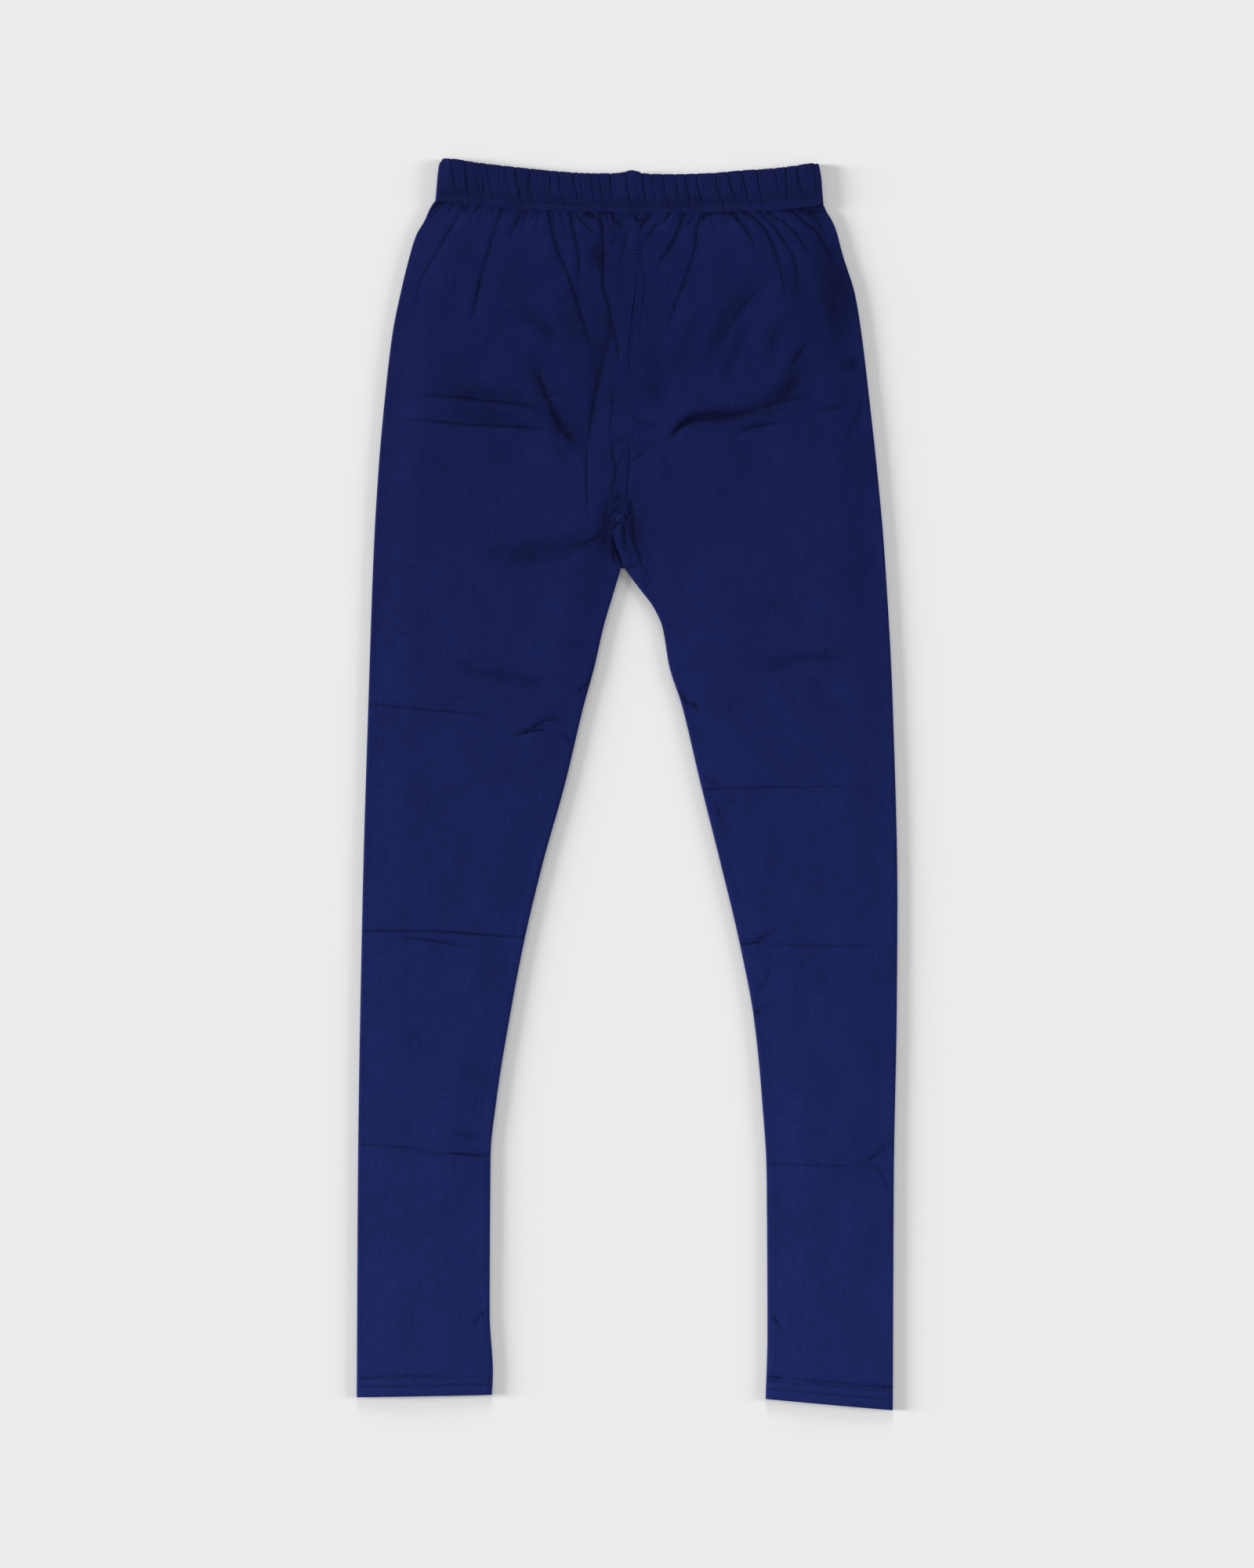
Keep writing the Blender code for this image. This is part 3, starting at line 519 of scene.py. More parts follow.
leftLeg["folds"] = [
    # the fan below the waistband
    (5.0, 2.0, (17, 441), (13, 435), (10, 428)),
    (4.5, 2.4, (3, 440), (8, 437.5), (15, 437)),
    (4.5, 1.6, (34, 443), (28, 437), (21, 431), (16, 423), (11, 413)),
    (6.0, 2.4, (44, 442), (40, 431), (33, 417), (25, 404), (22, 391)),
    (4.0, 1.2, (53, 440), (46, 434), (41, 428)),
    (6.0, 1.9, (60, 443), (55, 434), (52, 415), (45, 392), (37, 371), (29, 350), (23, 336)),
    (4.0, 1.3, (74, 444), (64, 442), (57, 435)),
    (6.5, 2.6, (75, 445), (82, 442), (90, 434), (96, 424), (101, 410)),
    (6.0, 2.3, (88, 446), (96, 442), (104, 435), (110, 427), (117, 409), (126, 368)),
    (5.0, 1.8, (102, 446), (108, 439), (113, 434), (122, 421), (130, 406), (133, 368)),
    (5.0, 2.2, (108, 446), (116, 440), (123, 436), (134, 424), (144, 406)),
    (6.0, 2.2, (121, 446), (128, 445), (140, 434), (147, 429), (156, 414), (165, 394)),
    (5.0, 1.8, (134, 447), (144, 442), (151, 433), (156, 421)),
    (4.0, 1.5, (144, 445), (156, 444)),
    # soft ones over the hip
    (10.0, 2.0, (143, 425), (152, 396), (161, 366), (168, 325)),
    (9.0, 1.6, (56, 373), (47, 350), (38, 320)),
    (10.0, 2.0, (112, 395), (94, 378), (86, 370), (74, 349), (62, 315)),
    (5.0, 1.2, (112, 392), (94, 376), (84, 362), (74, 345), (68, 330)),
    (9.0, 1.8, (98, 360), (84, 334), (72, 300)),
    (9.0, 1.6, (132, 370), (117, 355), (112, 342), (108, 318)),
    (8.0, 2.4, (142, 344), (134, 334), (124, 318)),
    (6.0, 2.7, (25, 265), (33, 268), (40, 276), (48, 281), (64, 283), (79, 284), (98, 290), (112, 295),
     (126, 299), (142, 301)),
    (12.0, 5.0, (46, 284), (80, 288), (104, 294), (120, 304), (130, 316), (140, 338)),
    (3.5, 0.7, (92, 285), (116, 289), (142, 297)),
    (9.0, 2.4, (114, 297), (124, 308), (133, 328)),
    (6.5, 4.0, (30, 267), (40, 275.5), (50, 281), (66, 283), (84, 285), (104, 291)),
    (8.5, 4.0, (40, 279), (56, 284), (74, 285.5), (96, 290)),
    (7.5, 3.4, (38, 277), (50, 284), (66, 287), (86, 289)),
    (11.0, 1.2, (20, 345), (24, 320), (30, 300)),
    (16.0, 2.4, (146, 432), (164, 390), (174, 345)),
    (14.0, 1.8, (118, 425), (138, 380), (150, 335)),
    (3.0, 1.0, (3, 286), (9, 280), (15, 273)),
    (7.5, 1.8, (120, 281), (98, 277), (78, 271)),
    (4.0, 0.7, (110, 279), (96, 276), (82, 272)),
    (6.0, 1.2, (172, 292), (154, 291), (138, 289)),
    (6.0, 1.1, (176, 286), (173, 275), (169, 262)),
    (10.5, 1.8, (16, 318), (23, 305), (30, 294)),
    (9.0, 2.8, (164, 320), (174, 324), (184, 333)),
    (6.0, 0.9, (183, 298), (180, 285), (176, 271)),
    (3.2, 1.3, (3, 286), (16, 280), (31, 275)),
    (3.2, 1.3, (2, 249), (9, 255), (17, 261), (29, 269)),
    (6.0, -0.8, (67, 225), (71, 214), (79, 202), (96, 193)),
    (6.0, -0.6, (122, 260), (129, 248)),
    (5.0, 0.3, (28, 262), (28, 214), (28, 157)),
    (4.0, 1.9, (2, 228), (4.5, 212), (4.5, 198), (8, 184), (14, 168)),
    (9.0, 1.6, (4, 216), (7, 196), (13, 178), (20, 162)),
    (3.5, 1.4, (12, 170), (16, 164), (17, 158)),
    (4.0, 1.0, (13, 160), (16, 153)),
    # thigh
    (5.0, 3.4, (42, 71), (47, 64), (55, 61), (53, 57), (45, 56)),
    (9.0, 2.0, (90, 85), (116, 92), (138, 98), (162, 98), (180, 110)),
    (9.0, 1.4, (99, 136), (130, 146)),
    (9.0, 1.2, (138, 176), (155, 177)),
    (6.0, 0.6, (141, 57), (195, 63)),
    (7.0, 0.5, (156, 129), (156, 63)),
    (3.6, 1.1, (62, -4), (106, -2.5), (162, -2), (206, 1)),
    (5.0, 1.4, (68, -13), (73, -27), (79, -41)),
    (4.0, 1.2, (60, 6), (68, 1), (76, -2)),
    # calf and ankle
    (5.0, 4.0, (84, -125), (94, -124.5), (104, -123), (112, -121)),
    (3.4, 1.3, (103, -125), (158, -125.5), (210, -125)),
    (6.0, -0.5, (103, -130), (158, -131), (208, -130)),
    (4.0, 2.0, (100, -121), (109, -117), (118, -111)),
    (4.0, 1.6, (99, -178), (106, -176), (114, -168)),
    (4.0, 1.3, (101, -160), (108, -152), (113, -140)),
    (7.0, 0.6, (138, -126), (133, -152), (128, -176)),
    (3.4, 1.0, (107, -294), (127, -296), (186, -296.5), (207, -296.5)),
    (4.5, 1.8, (184, -296), (198, -285), (209, -275)),
    (4.5, 1.4, (189, -296), (198, -302), (206, -323)),
    (3.5, 1.6, (114, -414), (120, -424), (128, -430)),
    # the ledge above the hem
    (4.0, 2.6, (211, -470), (196, -469), (170, -467)),
    (4.0, 1.6, (184, -467.5), (150, -464.5), (118, -462)),
    (4.5, 3.0, (104, -458.5), (110, -460), (126, -462.5)),
    # fine ones beside the centre seam and round the gusset
    (3.0, 1.0, (3, 269), (12, 263)),
    (6.0, 3.5, (36, 268.5), (39, 274), (44, 279), (52, 282), (62, 283)),
    (3.0, 1.6, (-0.2, 217), (1.2, 213), (3, 206)),
    (4.0, 2.2, (12.5, 167), (9.5, 178), (5, 190), (3.5, 200)),
    (3.5, 1.1, (148, 301), (126, 299), (104, 292), (84, 286)),
]

# Short gathers just below the waistband. They fan out as the long ones do. Columns: x, lean to the side for
# each millimetre down
gatherLean = curve([(-148, -1.2), (-126, -0.5), (-97, -0.3), (-74, -0.3), (-60, 0.35), (-12, 0.3), (10, -0.5),
                    (34, -0.55), (58, -0.35), (70, 0.1), (78, 0.6), (104, 0.6), (126, 0.8), (148, 1.5)])
gathers = {
    "seed": 5,
    "span": (-147.0, 151.0),
    "pitch": 2.3,
    "scatter": 1.2,
    "length": (5.0, 26.0),
    "width": (1.5, 3.0),
    "depth": (0.3, 1.25),
    "shortening": (0.4, 1.0),
    "fromSeam": 0.5,
}

hem = {
    "depth": 14.0,  # the turned-up end
    "rows": (14.0, 8.0),  # the two needle rows, above the hem's edge
    "rise": 0.3,
    "ledge": 2.0,
    "groove": 0.25,
    "grooveWidth": 0.9,
    # painted shade in the needle rows
    "shade": 0.28,
    "shadeWidth": 0.7,
    "edgeDrop": 0.4,
    "edgeWidth": 1.0,
}
seams = {
    "inseamIn": 7.0,  # from the inner folded edge to the inner edge of its seam allowance
    "inseamSpan": (150.0, 110.0),  # y over which that allowance comes to show
    "allowanceRise": 0.10,
    "allowanceEdge": 1.4,  # over which each allowance ends
    "centreAllowance": {"right": 7.5, "left": 2.5},
    "centreSpan": (290.0, 350.0),  # y over which the one of the centre seam does
    "centreRise": 0.12,
    "marksBelow": 4.0,  # the ladder marks start this far below the waistband
    "crotchFade": 6.0,
    "overlap": 0.04,  # of the edges that are sewn together
    "waistOverlap": 0.6,  # of each leg and the rounded lower edge of the waistband
    "grooveWidth": 0.8,
    "grooveDepth": 0.4,  # for 1 in the tables of seam depths
    # painted shade in the sunk seams, and in the seam below the waistband
    "grooveShade": 0.9,
    "waistShade": 0.10,  # in the seam below the waistband
    "waistShadeWidth": 0.6,
}
# The small hollow where the seams meet above the gusset, with shade painted in it
hollow = {"x": -5.8, "y": 221.8, "radius": 3.2, "depth": 0.3, "shade": 0.7}
# Painted shade where the cloth crowds together and takes a little light away: beside the centre seam, and
# round the gusset, twice as far up and down as across
paintedSeamShade = {"x": -8.0, "half": 30.0, "span": (230.0, 360.0), "shade": 0.20}
paintedGussetShade = {"x": -4.0, "y": 205.0, "half": 16.0, "shade": 0.50}
# How deep the seam between the legs sinks, and the gusset's seam on each leg. Columns: y, depth
seamTop = [(444, 0.5), (432, 0.3), (400, 0.25), (380, 0.45), (371, 0.9), (362, 0.45), (345, 0.3), (300, 0.25),
           (262, 0.3), (240, 0.3)]
seamDepth = {
    "right": curve(seamTop + [(222, 0.4), (205, 0.25), (195, 0.4), (188, 1.3), (168, 1.3)]),
    "left": curve(seamTop + [(222, 0.5), (200, 0.5), (185, 0.4), (168, 0.4)]),
}
secondLine = (2.4, 0.9, (10.1, 425), (12.2, 404), (14, 388), (13.1, 376), (11.4, 364), (10.4, 350), (10, 318))

# How the front layer rises from its edges, and the shade painted beside them and round the folds
layer = {
    "flatEdge": 1.2,  # beside a folded edge
    "edgeRise": 34.0,  # from there to the layer's full height
    "creaseRise": 4.0,  # and to the full depth of its creases
    "waistRise": 16.0,  # from the waistband down
    "waveRise": 20.0,
    "edgeShade": 0.35,
    "foldShade": 0.5,  # round the fold itself
    "lean": 0.6,  # of the creases, to one side and the other in turn
    "startsNear": {"waist": 6.0, "outer": 9.0, "inseam": 7.0},  # a crease this near an edge starts there
}
# The underside lies on the table: its folds only push up into the garment, and stay shallow
underside = {
    "moved": 6.0,  # its creases are the front's, turned over and moved up
    "creases": 0.4,
    "waves": 0.10,
    "slack": 0.4,
    "needleRise": 0.2,
    "most": 0.7,
    "mostAtHem": 0.2,
    "aboveHem": 3.0,
    "edgeRise": 5.0,
}

legMesh = {
    "frontColumns": 184,  # divisible by 4, as are all counts round the leg
    "backColumns": 12,
    "arcSteps": 4,
    "edgeDensity": 0.3,  # how much closer the columns stand at the folded edges
    "openRows": 276,  # down to the crotch
    "easing": 1.15,
    "waistEasing": 1.5,  # rows follow the curved waist this quickly
    "crotchStep": 0.9,
    "rowStep": 3.3,
    "fineStep": 0.8,
    "fineReach": (4.0, 12.0),  # from the creases across the leg
    "hemStep": 1.0,
    "hemReach": (15.0, 25.0),
    "leastStep": 0.5,
    "halfBelow": 150.0,  # y below which every second front column ends
    "insideStep": 4,  # the unseen inner side has every fourth row and column
    "sharpAngle": 70.0,
}


def softWaves(x, y, side):
    # The slack that lies in the cloth between its folds, more of it higher up: three low waves across and
    # along the leg, each bent by a longer one
    waves = 0.17 * np.sin(x / 11.0 + 1.3 * side + 0.9 * np.sin(y / 37.0))
    waves += 0.15 * np.sin(x / 17.0 - y / 25.0 + 2.1 + 0.8 * np.sin(x / 31.0))
    waves += 0.14 * np.sin(y / 19.0 + 0.9 * np.sin(x / 23.0) + side)
    return waves * (0.25 + 0.4 * between(y, -160.0, 180.0))


def rowLevels(leg):
    # y of every row at the outer edge and at the inner edge
    openRows = legMesh["openRows"]
    topOut = leg["outer"][0][0]
    topIn = float(waistLine(seamTopX))
    firstOut, firstIn = leg["levels"][0]
    t = (np.arange(openRows) / (openRows - 1)) ** legMesh["easing"]
    outer = list(mix(topOut, firstOut + legMesh["crotchStep"], t))
    y = firstOut
    bottom = leg["levels"][-1][0]
    while y > bottom + legMesh["leastStep"]:
        outer.append(y)
        nearest = min(abs(y - fine) for fine in leg["fineRows"])
        step = mix(legMesh["fineStep"], legMesh["rowStep"], between(nearest, *legMesh["fineReach"]))
        hemStep = mix(legMesh["hemStep"], legMesh["rowStep"], between(y - bottom, *legMesh["hemReach"]))
        y -= float(min(step, hemStep))
    while len(outer) % legMesh["insideStep"]:
        outer.append(mix(outer[-1], bottom, 0.3))
    outer.append(bottom)
    levelOut, levelIn = np.array(leg["levels"][::-1]).T
    inner = np.interp(outer, levelOut, levelIn)
    inner[:openRows] = mix(topIn, firstIn + legMesh["crotchStep"], t)
    return np.array(outer), inner


def startsAtEdge(leg, stroke):
    x, y = stroke[2]
    reach = layer["startsNear"]
    if y > waistLine(x) - reach["waist"] or abs(x - leg["outerAt"](y)) < reach["outer"]:
        return True
    return y < crotchY and abs(x - leg["inseamAt"](y)) < reach["inseam"]


def addGathers(leg, form, shade, x, y):
    side = leg["side"]
    rng = np.random.default_rng(gathers["seed"] + side)
    for place in np.arange(*gathers["span"], gathers["pitch"]):
        startX = place + rng.uniform(-gathers["scatter"], gathers["scatter"])
        length, width, depth = (rng.uniform(*gathers[key]) for key in ("length", "width", "depth"))
        length *= rng.uniform(*gathers["shortening"])
        startY = float(waistLine(startX))
        endX = startX + float(gatherLean(startX)) * length
        if (startX - float(centreSeam(startY))) * side > gathers["fromSeam"]:
            stroke = (width, depth, (startX, startY), (endX, startY - length))
            addCrease(form, shade, x, y, stroke, 0.0, True)


def addSeams(leg, form, shade, x, y, below, fromInner, isOpen):
    # The seam allowances under the cloth and the sunk seams, with shade painted in them. Gives the ladder
    # marks.
    ridge = smooth((seams["inseamIn"] - fromInner) / seams["allowanceEdge"])
    ridge *= between(y, *seams["inseamSpan"])
    form += np.where(isOpen, 0.0, seams["allowanceRise"] * ridge)
    fromCentre = np.abs(x - np.where(y > gussetTop, centreSeam(y), gussetSide[leg["name"]](y)))
    above = np.where(isOpen, smooth((y - crotchY) / seams["crotchFade"]), 0.0)
    plateau = smooth((seams["centreAllowance"][leg["name"]] - fromCentre) / seams["allowanceEdge"])
    plateau *= between(y, *seams["centreSpan"]) * above
    form += seams["centreRise"] * plateau
    if leg["name"] == "left":
        addCrease(form, shade, x, y, secondLine, 0.0, True)
    sunk = seamDepth[leg["name"]](y) * bell(fromCentre, seams["grooveWidth"]) * above
    form -= seams["grooveDepth"] * sunk
    shade += seams["grooveShade"] * sunk
    return plateau * smooth(below / seams["marksBelow"])


def frontForm(leg, x, y, aboveHem, isOpen):
    # Rise of the front layer above its level at a folded edge, its shade painted in creases, seams and at
    # edges, and its ladder marks
    fromOuter = np.abs(x - leg["outerAt"](y))
    fromInseam = np.abs(x - leg["inseamAt"](y))
    fromInner = np.where(isOpen, np.hypot(x - leg["inseam"][0][1], y - crotchY), fromInseam)
    edge = np.maximum(np.minimum(fromOuter, fromInner) - layer["flatEdge"], 0.0)
    below = waistLine(x) - y
    lift = mix(jersey["waistTop"], liftTable(y), smooth(below / layer["waistRise"]))
    form = lift * smooth(edge / layer["edgeRise"])
    form += softWaves(x, y, leg["side"]) * smooth(below / layer["waveRise"])
    shade = np.zeros_like(x)
    for k, stroke in enumerate(leg["folds"]):
        lean = layer["lean"] if k % 2 else -layer["lean"]
        addCrease(form, shade, x, y, stroke, lean, startsAtEdge(leg, stroke))
    addGathers(leg, form, shade, x, y)
    marks = addSeams(leg, form, shade, x, y, below, fromInner, isOpen)
    # painted shade in the seam below the waistband
    shade += seams["waistShade"] * bell(below, seams["waistShadeWidth"])
    # painted shade beside the centre seam and round the gusset
    seamShadeMask = bell(x - paintedSeamShade["x"], paintedSeamShade["half"]) * between(y, *paintedSeamShade["span"])
    shade += paintedSeamShade["shade"] * seamShadeMask
    fromGusset = np.hypot(x - paintedGussetShade["x"], (y - paintedGussetShade["y"]) / 2)
    shade += paintedGussetShade["shade"] * bell(fromGusset, paintedGussetShade["half"])
    inHollow = bell(np.hypot(x - hollow["x"], y - hollow["y"]), hollow["radius"])
    form -= hollow["depth"] * inHollow
    # painted shade in the hollow
    shade += hollow["shade"] * inHollow
    # turned-up hem with its two needle rows, and shade painted in the rows
    form += hem["rise"] * smooth((hem["depth"] - aboveHem) / hem["ledge"] + 0.5)
    for row in hem["rows"]:
        form -= hem["groove"] * bell(aboveHem - row, hem["grooveWidth"])
        shade += hem["shade"] * bell(aboveHem - row, hem["shadeWidth"])
    form -= hem["edgeDrop"] * bell(aboveHem, hem["edgeWidth"])
    # painted shade beside the folded edges
    folded = np.minimum(fromOuter, np.where(isOpen, np.inf, fromInseam))
    shade += layer["edgeShade"] * bell(folded, layer["flatEdge"])
    form = np.maximum(form * smooth(edge / layer["creaseRise"]), jersey["leastForm"])
    return form, np.clip(shade, 0.0, 1.0), marks


def backForm(leg, x, y, aboveHem):
    middle = mix(leg["outerAt"](y), np.where(y > crotchY, 0.0, leg["inseamAt"](y)), 0.5)
    form = np.zeros_like(x)
    # painted shade in the underside's creases
    shade = np.zeros_like(x)
    for stroke in leg["folds"]:
        addCrease(form, shade, 2 * middle - x, y + underside["moved"], stroke, 0.0, True)
    form = underside["creases"] * np.abs(form)
    form += underside["waves"] * (softWaves(x, y, -leg["side"]) + underside["slack"])
    for row in hem["rows"]:
        form += underside["needleRise"] * bell(aboveHem - row, hem["grooveWidth"])
    atHem = aboveHem < hem["depth"] + underside["aboveHem"]
    most = np.where(atHem, underside["mostAtHem"], underside["most"])
    return np.clip(form, 0.0, most), np.clip(shade, 0.0, 1.0)


def widest(values, most):
    # Highest (most 1) or lowest (most -1) value near each place, as far as the inner side's mesh is wide
    rows, columns = values.shape
    reach = legMesh["insideStep"]
    padded = np.pad(most * values, reach, mode="edge")
    shifts = range(2 * reach + 1)
    return most * np.max([padded[i:i + rows, j:j + columns] for i in shifts for j in shifts], axis=0)


def stripFaces(rows, placesOf, endOf, number):
    # Polygons between the rows of a grid. Where the lower row has fewer places, each cell takes more above.
    faces = []
    for upper, lower in zip(rows, rows[1:]):
        end = endOf(upper)
        low = [place for place in placesOf(lower) if place <= end]
        high = [place for place in placesOf(upper) if place <= end]
        for a, b in zip(low, low[1:]):
            extra = [place for place in high if a < place < b] if len(high) > len(low) else []
            faces.append([number(upper, a), number(lower, a), number(lower, b), number(upper, b)]
                         + [number(upper, place) for place in extra[::-1]])
    return faces


def legFaces(rowCount, places, openEnd, halfRow):
    # Polygons of a leg's outside and inside and of the cut edges between them
    fold = legMesh["frontColumns"]
    openRows = legMesh["openRows"]
    insideStep = legMesh["insideStep"]
    everyPlace = list(range(places))
    fewer = [place for place in everyPlace if place >= fold or place % 2 == 0]
    coarse = everyPlace[::insideStep]
    coarseRows = list(range(0, rowCount, insideStep))

    def onOutside(row, place):
        return row * places + place

    def onInside(row, place):
        return (rowCount + row) * places + place

    def outsidePlaces(row):
        return fewer if row > halfRow else everyPlace

    def lastPlace(row):
        return places - 1 if row >= openRows else openEnd

    faces = stripFaces(list(range(rowCount)), outsidePlaces, lastPlace, onOutside)
    faces += [face[::-1] for face in stripFaces(coarseRows, lambda row: coarse, lastPlace, onInside)]
    # the cut edges: waist, centre seam and gusset front and back, crotch, and the hem
    chains = [
        [(0, place) for place in range(openEnd + 1)],
        [(row, openEnd) for row in range(openRows + 1)],
        [(openRows, place) for place in range(openEnd, places)],
        [(row, 0) for row in range(openRows, -1, -1)],
        [(rowCount - 1, place) for place in fewer],
    ]
    for chain in chains:
        edge = []
        for row, place in chain:
            edge.append((row, place))
            if len(edge) > 1 and row % insideStep == 0 and place % insideStep == 0:
                faces.append([onOutside(*spot) for spot in edge] + [onInside(*edge[-1]), onInside(*edge[0])])
                edge = [edge[-1]]
    return faces


def makeLeg(pieceName, leg):
    leg["outerAt"] = curve(leg["outer"])
    leg["inseamAt"] = curve(leg["inseam"])
    side = leg["side"]
    openRows = legMesh["openRows"]
    outY, inY = rowLevels(leg)
    rowCount = len(outY)
    isOpen = np.arange(rowCount) < openRows
    level = np.clip(1 - np.arange(rowCount) / (openRows - 1), 0.0, 1.0)
    outX = leg["outerAt"](outY) - side * foldRadius
    seamX = np.where(inY > gussetTop, centreSeam(inY), gussetSide[leg["name"]](inY)) - side * seams["overlap"]
    inX = np.where(isOpen, seamX, leg["inseamAt"](inY) + side * foldRadius)

    def sheetPoints(columns):  # x and y of a layer, inner edge first, and the height above the hem
        k = np.arange(columns + 1) / columns
        share = mix(k, 0.5 - 0.5 * np.cos(np.pi * k), legMesh["edgeDensity"])[None, :]
        x = mix(inX[:, None], outX[:, None], share)
        y = mix(inY[:, None], outY[:, None], share)
        topStraight = mix(float(waistLine(seamTopX)), leg["outer"][0][0], share)
        upToWaist = waistLine(x) + seams["waistOverlap"] - topStraight
        y = y + upToWaist * level[:, None] ** legMesh["waistEasing"]
        return x, y, y - mix(leg["levels"][-1][1], leg["levels"][-1][0], share)

    x, y, aboveHem = sheetPoints(legMesh["frontColumns"])
    form, shade, marks = frontForm(leg, x, y, aboveHem, isOpen[:, None])
    z = jersey["top"] + form
    bx, by, bHem = sheetPoints(legMesh["backColumns"])
    bForm, bShade = backForm(leg, bx, by, bHem)
    fromEdge = np.minimum(np.abs(bx - outX[:, None]), np.abs(bx - inX[:, None]))
    bz = jersey["bottom"] + bForm * smooth(fromEdge / underside["edgeRise"])

    # Rings of places: front from the inner edge out, the outer fold, back to the inner edge, the inner fold
    steps = legMesh["arcSteps"]
    angles = np.pi * np.arange(1, steps)[None, :] / steps

    def arc(centreX, centreY, out):
        arcX = centreX[:, None] + side * out * foldRadius * np.sin(angles)
        arcZ = foldMiddle + out * foldRadius * np.cos(angles)
        return np.stack(np.broadcast_arrays(arcX, centreY[:, None], arcZ), axis=2)

    front = np.stack([x, y, z], axis=2)
    back = np.stack([bx, by, bz], axis=2)[:, ::-1]
    outside = np.concatenate([front, arc(outX, outY, 1), back, arc(inX, inY, -1), front[:, :1]], axis=1)
    places = outside.shape[1]
    fold = legMesh["frontColumns"]
    firstBack = fold + steps
    openEnd = firstBack + legMesh["backColumns"]
    wall = np.where(aboveHem < hem["depth"], jersey["hemWall"], jersey["wall"])
    inside = outside.copy()
    inside[:, :fold + 1, 2] = widest(z, -1) - wall
    backWall = np.where(bHem < hem["depth"], jersey["hemWall"], jersey["wall"])
    inside[:, firstBack:openEnd + 1, 2] = (widest(bz, 1) + backWall)[:, ::-1]
    inside[:, -1] = inside[:, 0]
    # painted shade round the folds, and in the back layer's creases
    foldShade = np.full((rowCount, steps - 1), layer["foldShade"])
    shades = np.concatenate([shade, foldShade, bShade[:, ::-1], foldShade, shade[:, :1]], axis=1)
    allMarks = np.concatenate([marks, np.zeros((rowCount, places - marks.shape[1]))], axis=1)

    # u runs round the leg from its grain line, v along it
    lengths = np.hypot(*np.moveaxis(np.diff(outside, axis=1)[:, :, (0, 2)], 2, 0))
    run = np.concatenate([np.zeros((rowCount, 1)), np.cumsum(lengths, axis=1)], axis=1)
    grainY, grainX = np.array(leg["grain"]).T
    u = outside[:, :, 0] - np.interp(outside[:, :, 1], grainY, grainX)
    u[:, fold + 1:] = (u[:, fold:fold + 1] + side * (run - run[:, fold:fold + 1]))[:, fold + 1:]
    uv = np.stack([u, outside[:, :, 1]], axis=2).reshape(-1, 2)

    faces = legFaces(rowCount, places, openEnd, int(np.argmax(inY < legMesh["halfBelow"])))
    twin = np.arange(2 * rowCount * places).reshape(2, rowCount, places)
    twin[:, :, -1] = twin[:, :, 0]
    points = np.concatenate([outside.reshape(-1, 3), inside.reshape(-1, 3)])
    piece = makeMesh(pieceName, points, np.concatenate([uv, uv]), faces, twin.ravel(), navyJersey,
                     np.tile(shades.ravel(), 2), np.tile(allMarks.ravel(), 2))
    piece.data.set_sharp_from_angle(angle=np.radians(legMesh["sharpAngle"]))
    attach(piece, "root")
    leg["piece"] = piece
    aboveMiddle = aboveHem[:, fold // 2]
    leg["hemRings"] = [outside[int(np.argmin(np.abs(aboveMiddle - row))), :-1] for row in hem["rows"]]
    triangles = sum(len(polygon.vertices) - 2 for polygon in piece.data.polygons)
    print(pieceName, "made,", triangles, "triangles")


makeLeg("right_leg_cloth", rightLeg)
makeLeg("left_leg_cloth", leftLeg)

# Crotch gusset, let in between the two legs and sunk a little below them

gusset = {
    "columns": 22,
    "rows": 46,
    "backRows": 16,
    "arcSteps": 6,
    "belowTop": 0.1,
    "bottom": 169.3,
    "middle": -3.0,
    "sink": 0.15,
    "sinkRise": 5.0,  # above its lower fold
    "creaseRise": 3.0,
    "crown": 0.3,
    "crownPlace": 0.55,  # share of its width
    "crownHalf": 3.5,
    "lowest": -1.2,
    # painted shade over the whole gusset
    "shade": 0.32,
    "wrinkles": [
        (5.0, 5.0, (-12.5, 192), (-10.5, 186), (-7.5, 177), (-4.5, 169), (-3, 165)),
        (5.0, 5.0, (-3, 165), (-4.5, 169), (-8, 178), (-12, 189)),
        (3.0, -2.6, (-12, 201), (-7, 205), (-5, 207), (-3, 203)),
        (3.0, 2.2, (-12, 198), (-8, 202), (-5, 203), (-2, 199), (-1, 192)),
        (3.0, 2.0, (-9, 208), (-5, 211), (-1, 209), (0, 200)),
        (3.0, 1.6, (-2, 201), (-2, 190), (1, 178)),
        (3.0, -2.0, (2, 173), (6, 171), (10, 170)),
    ],
}


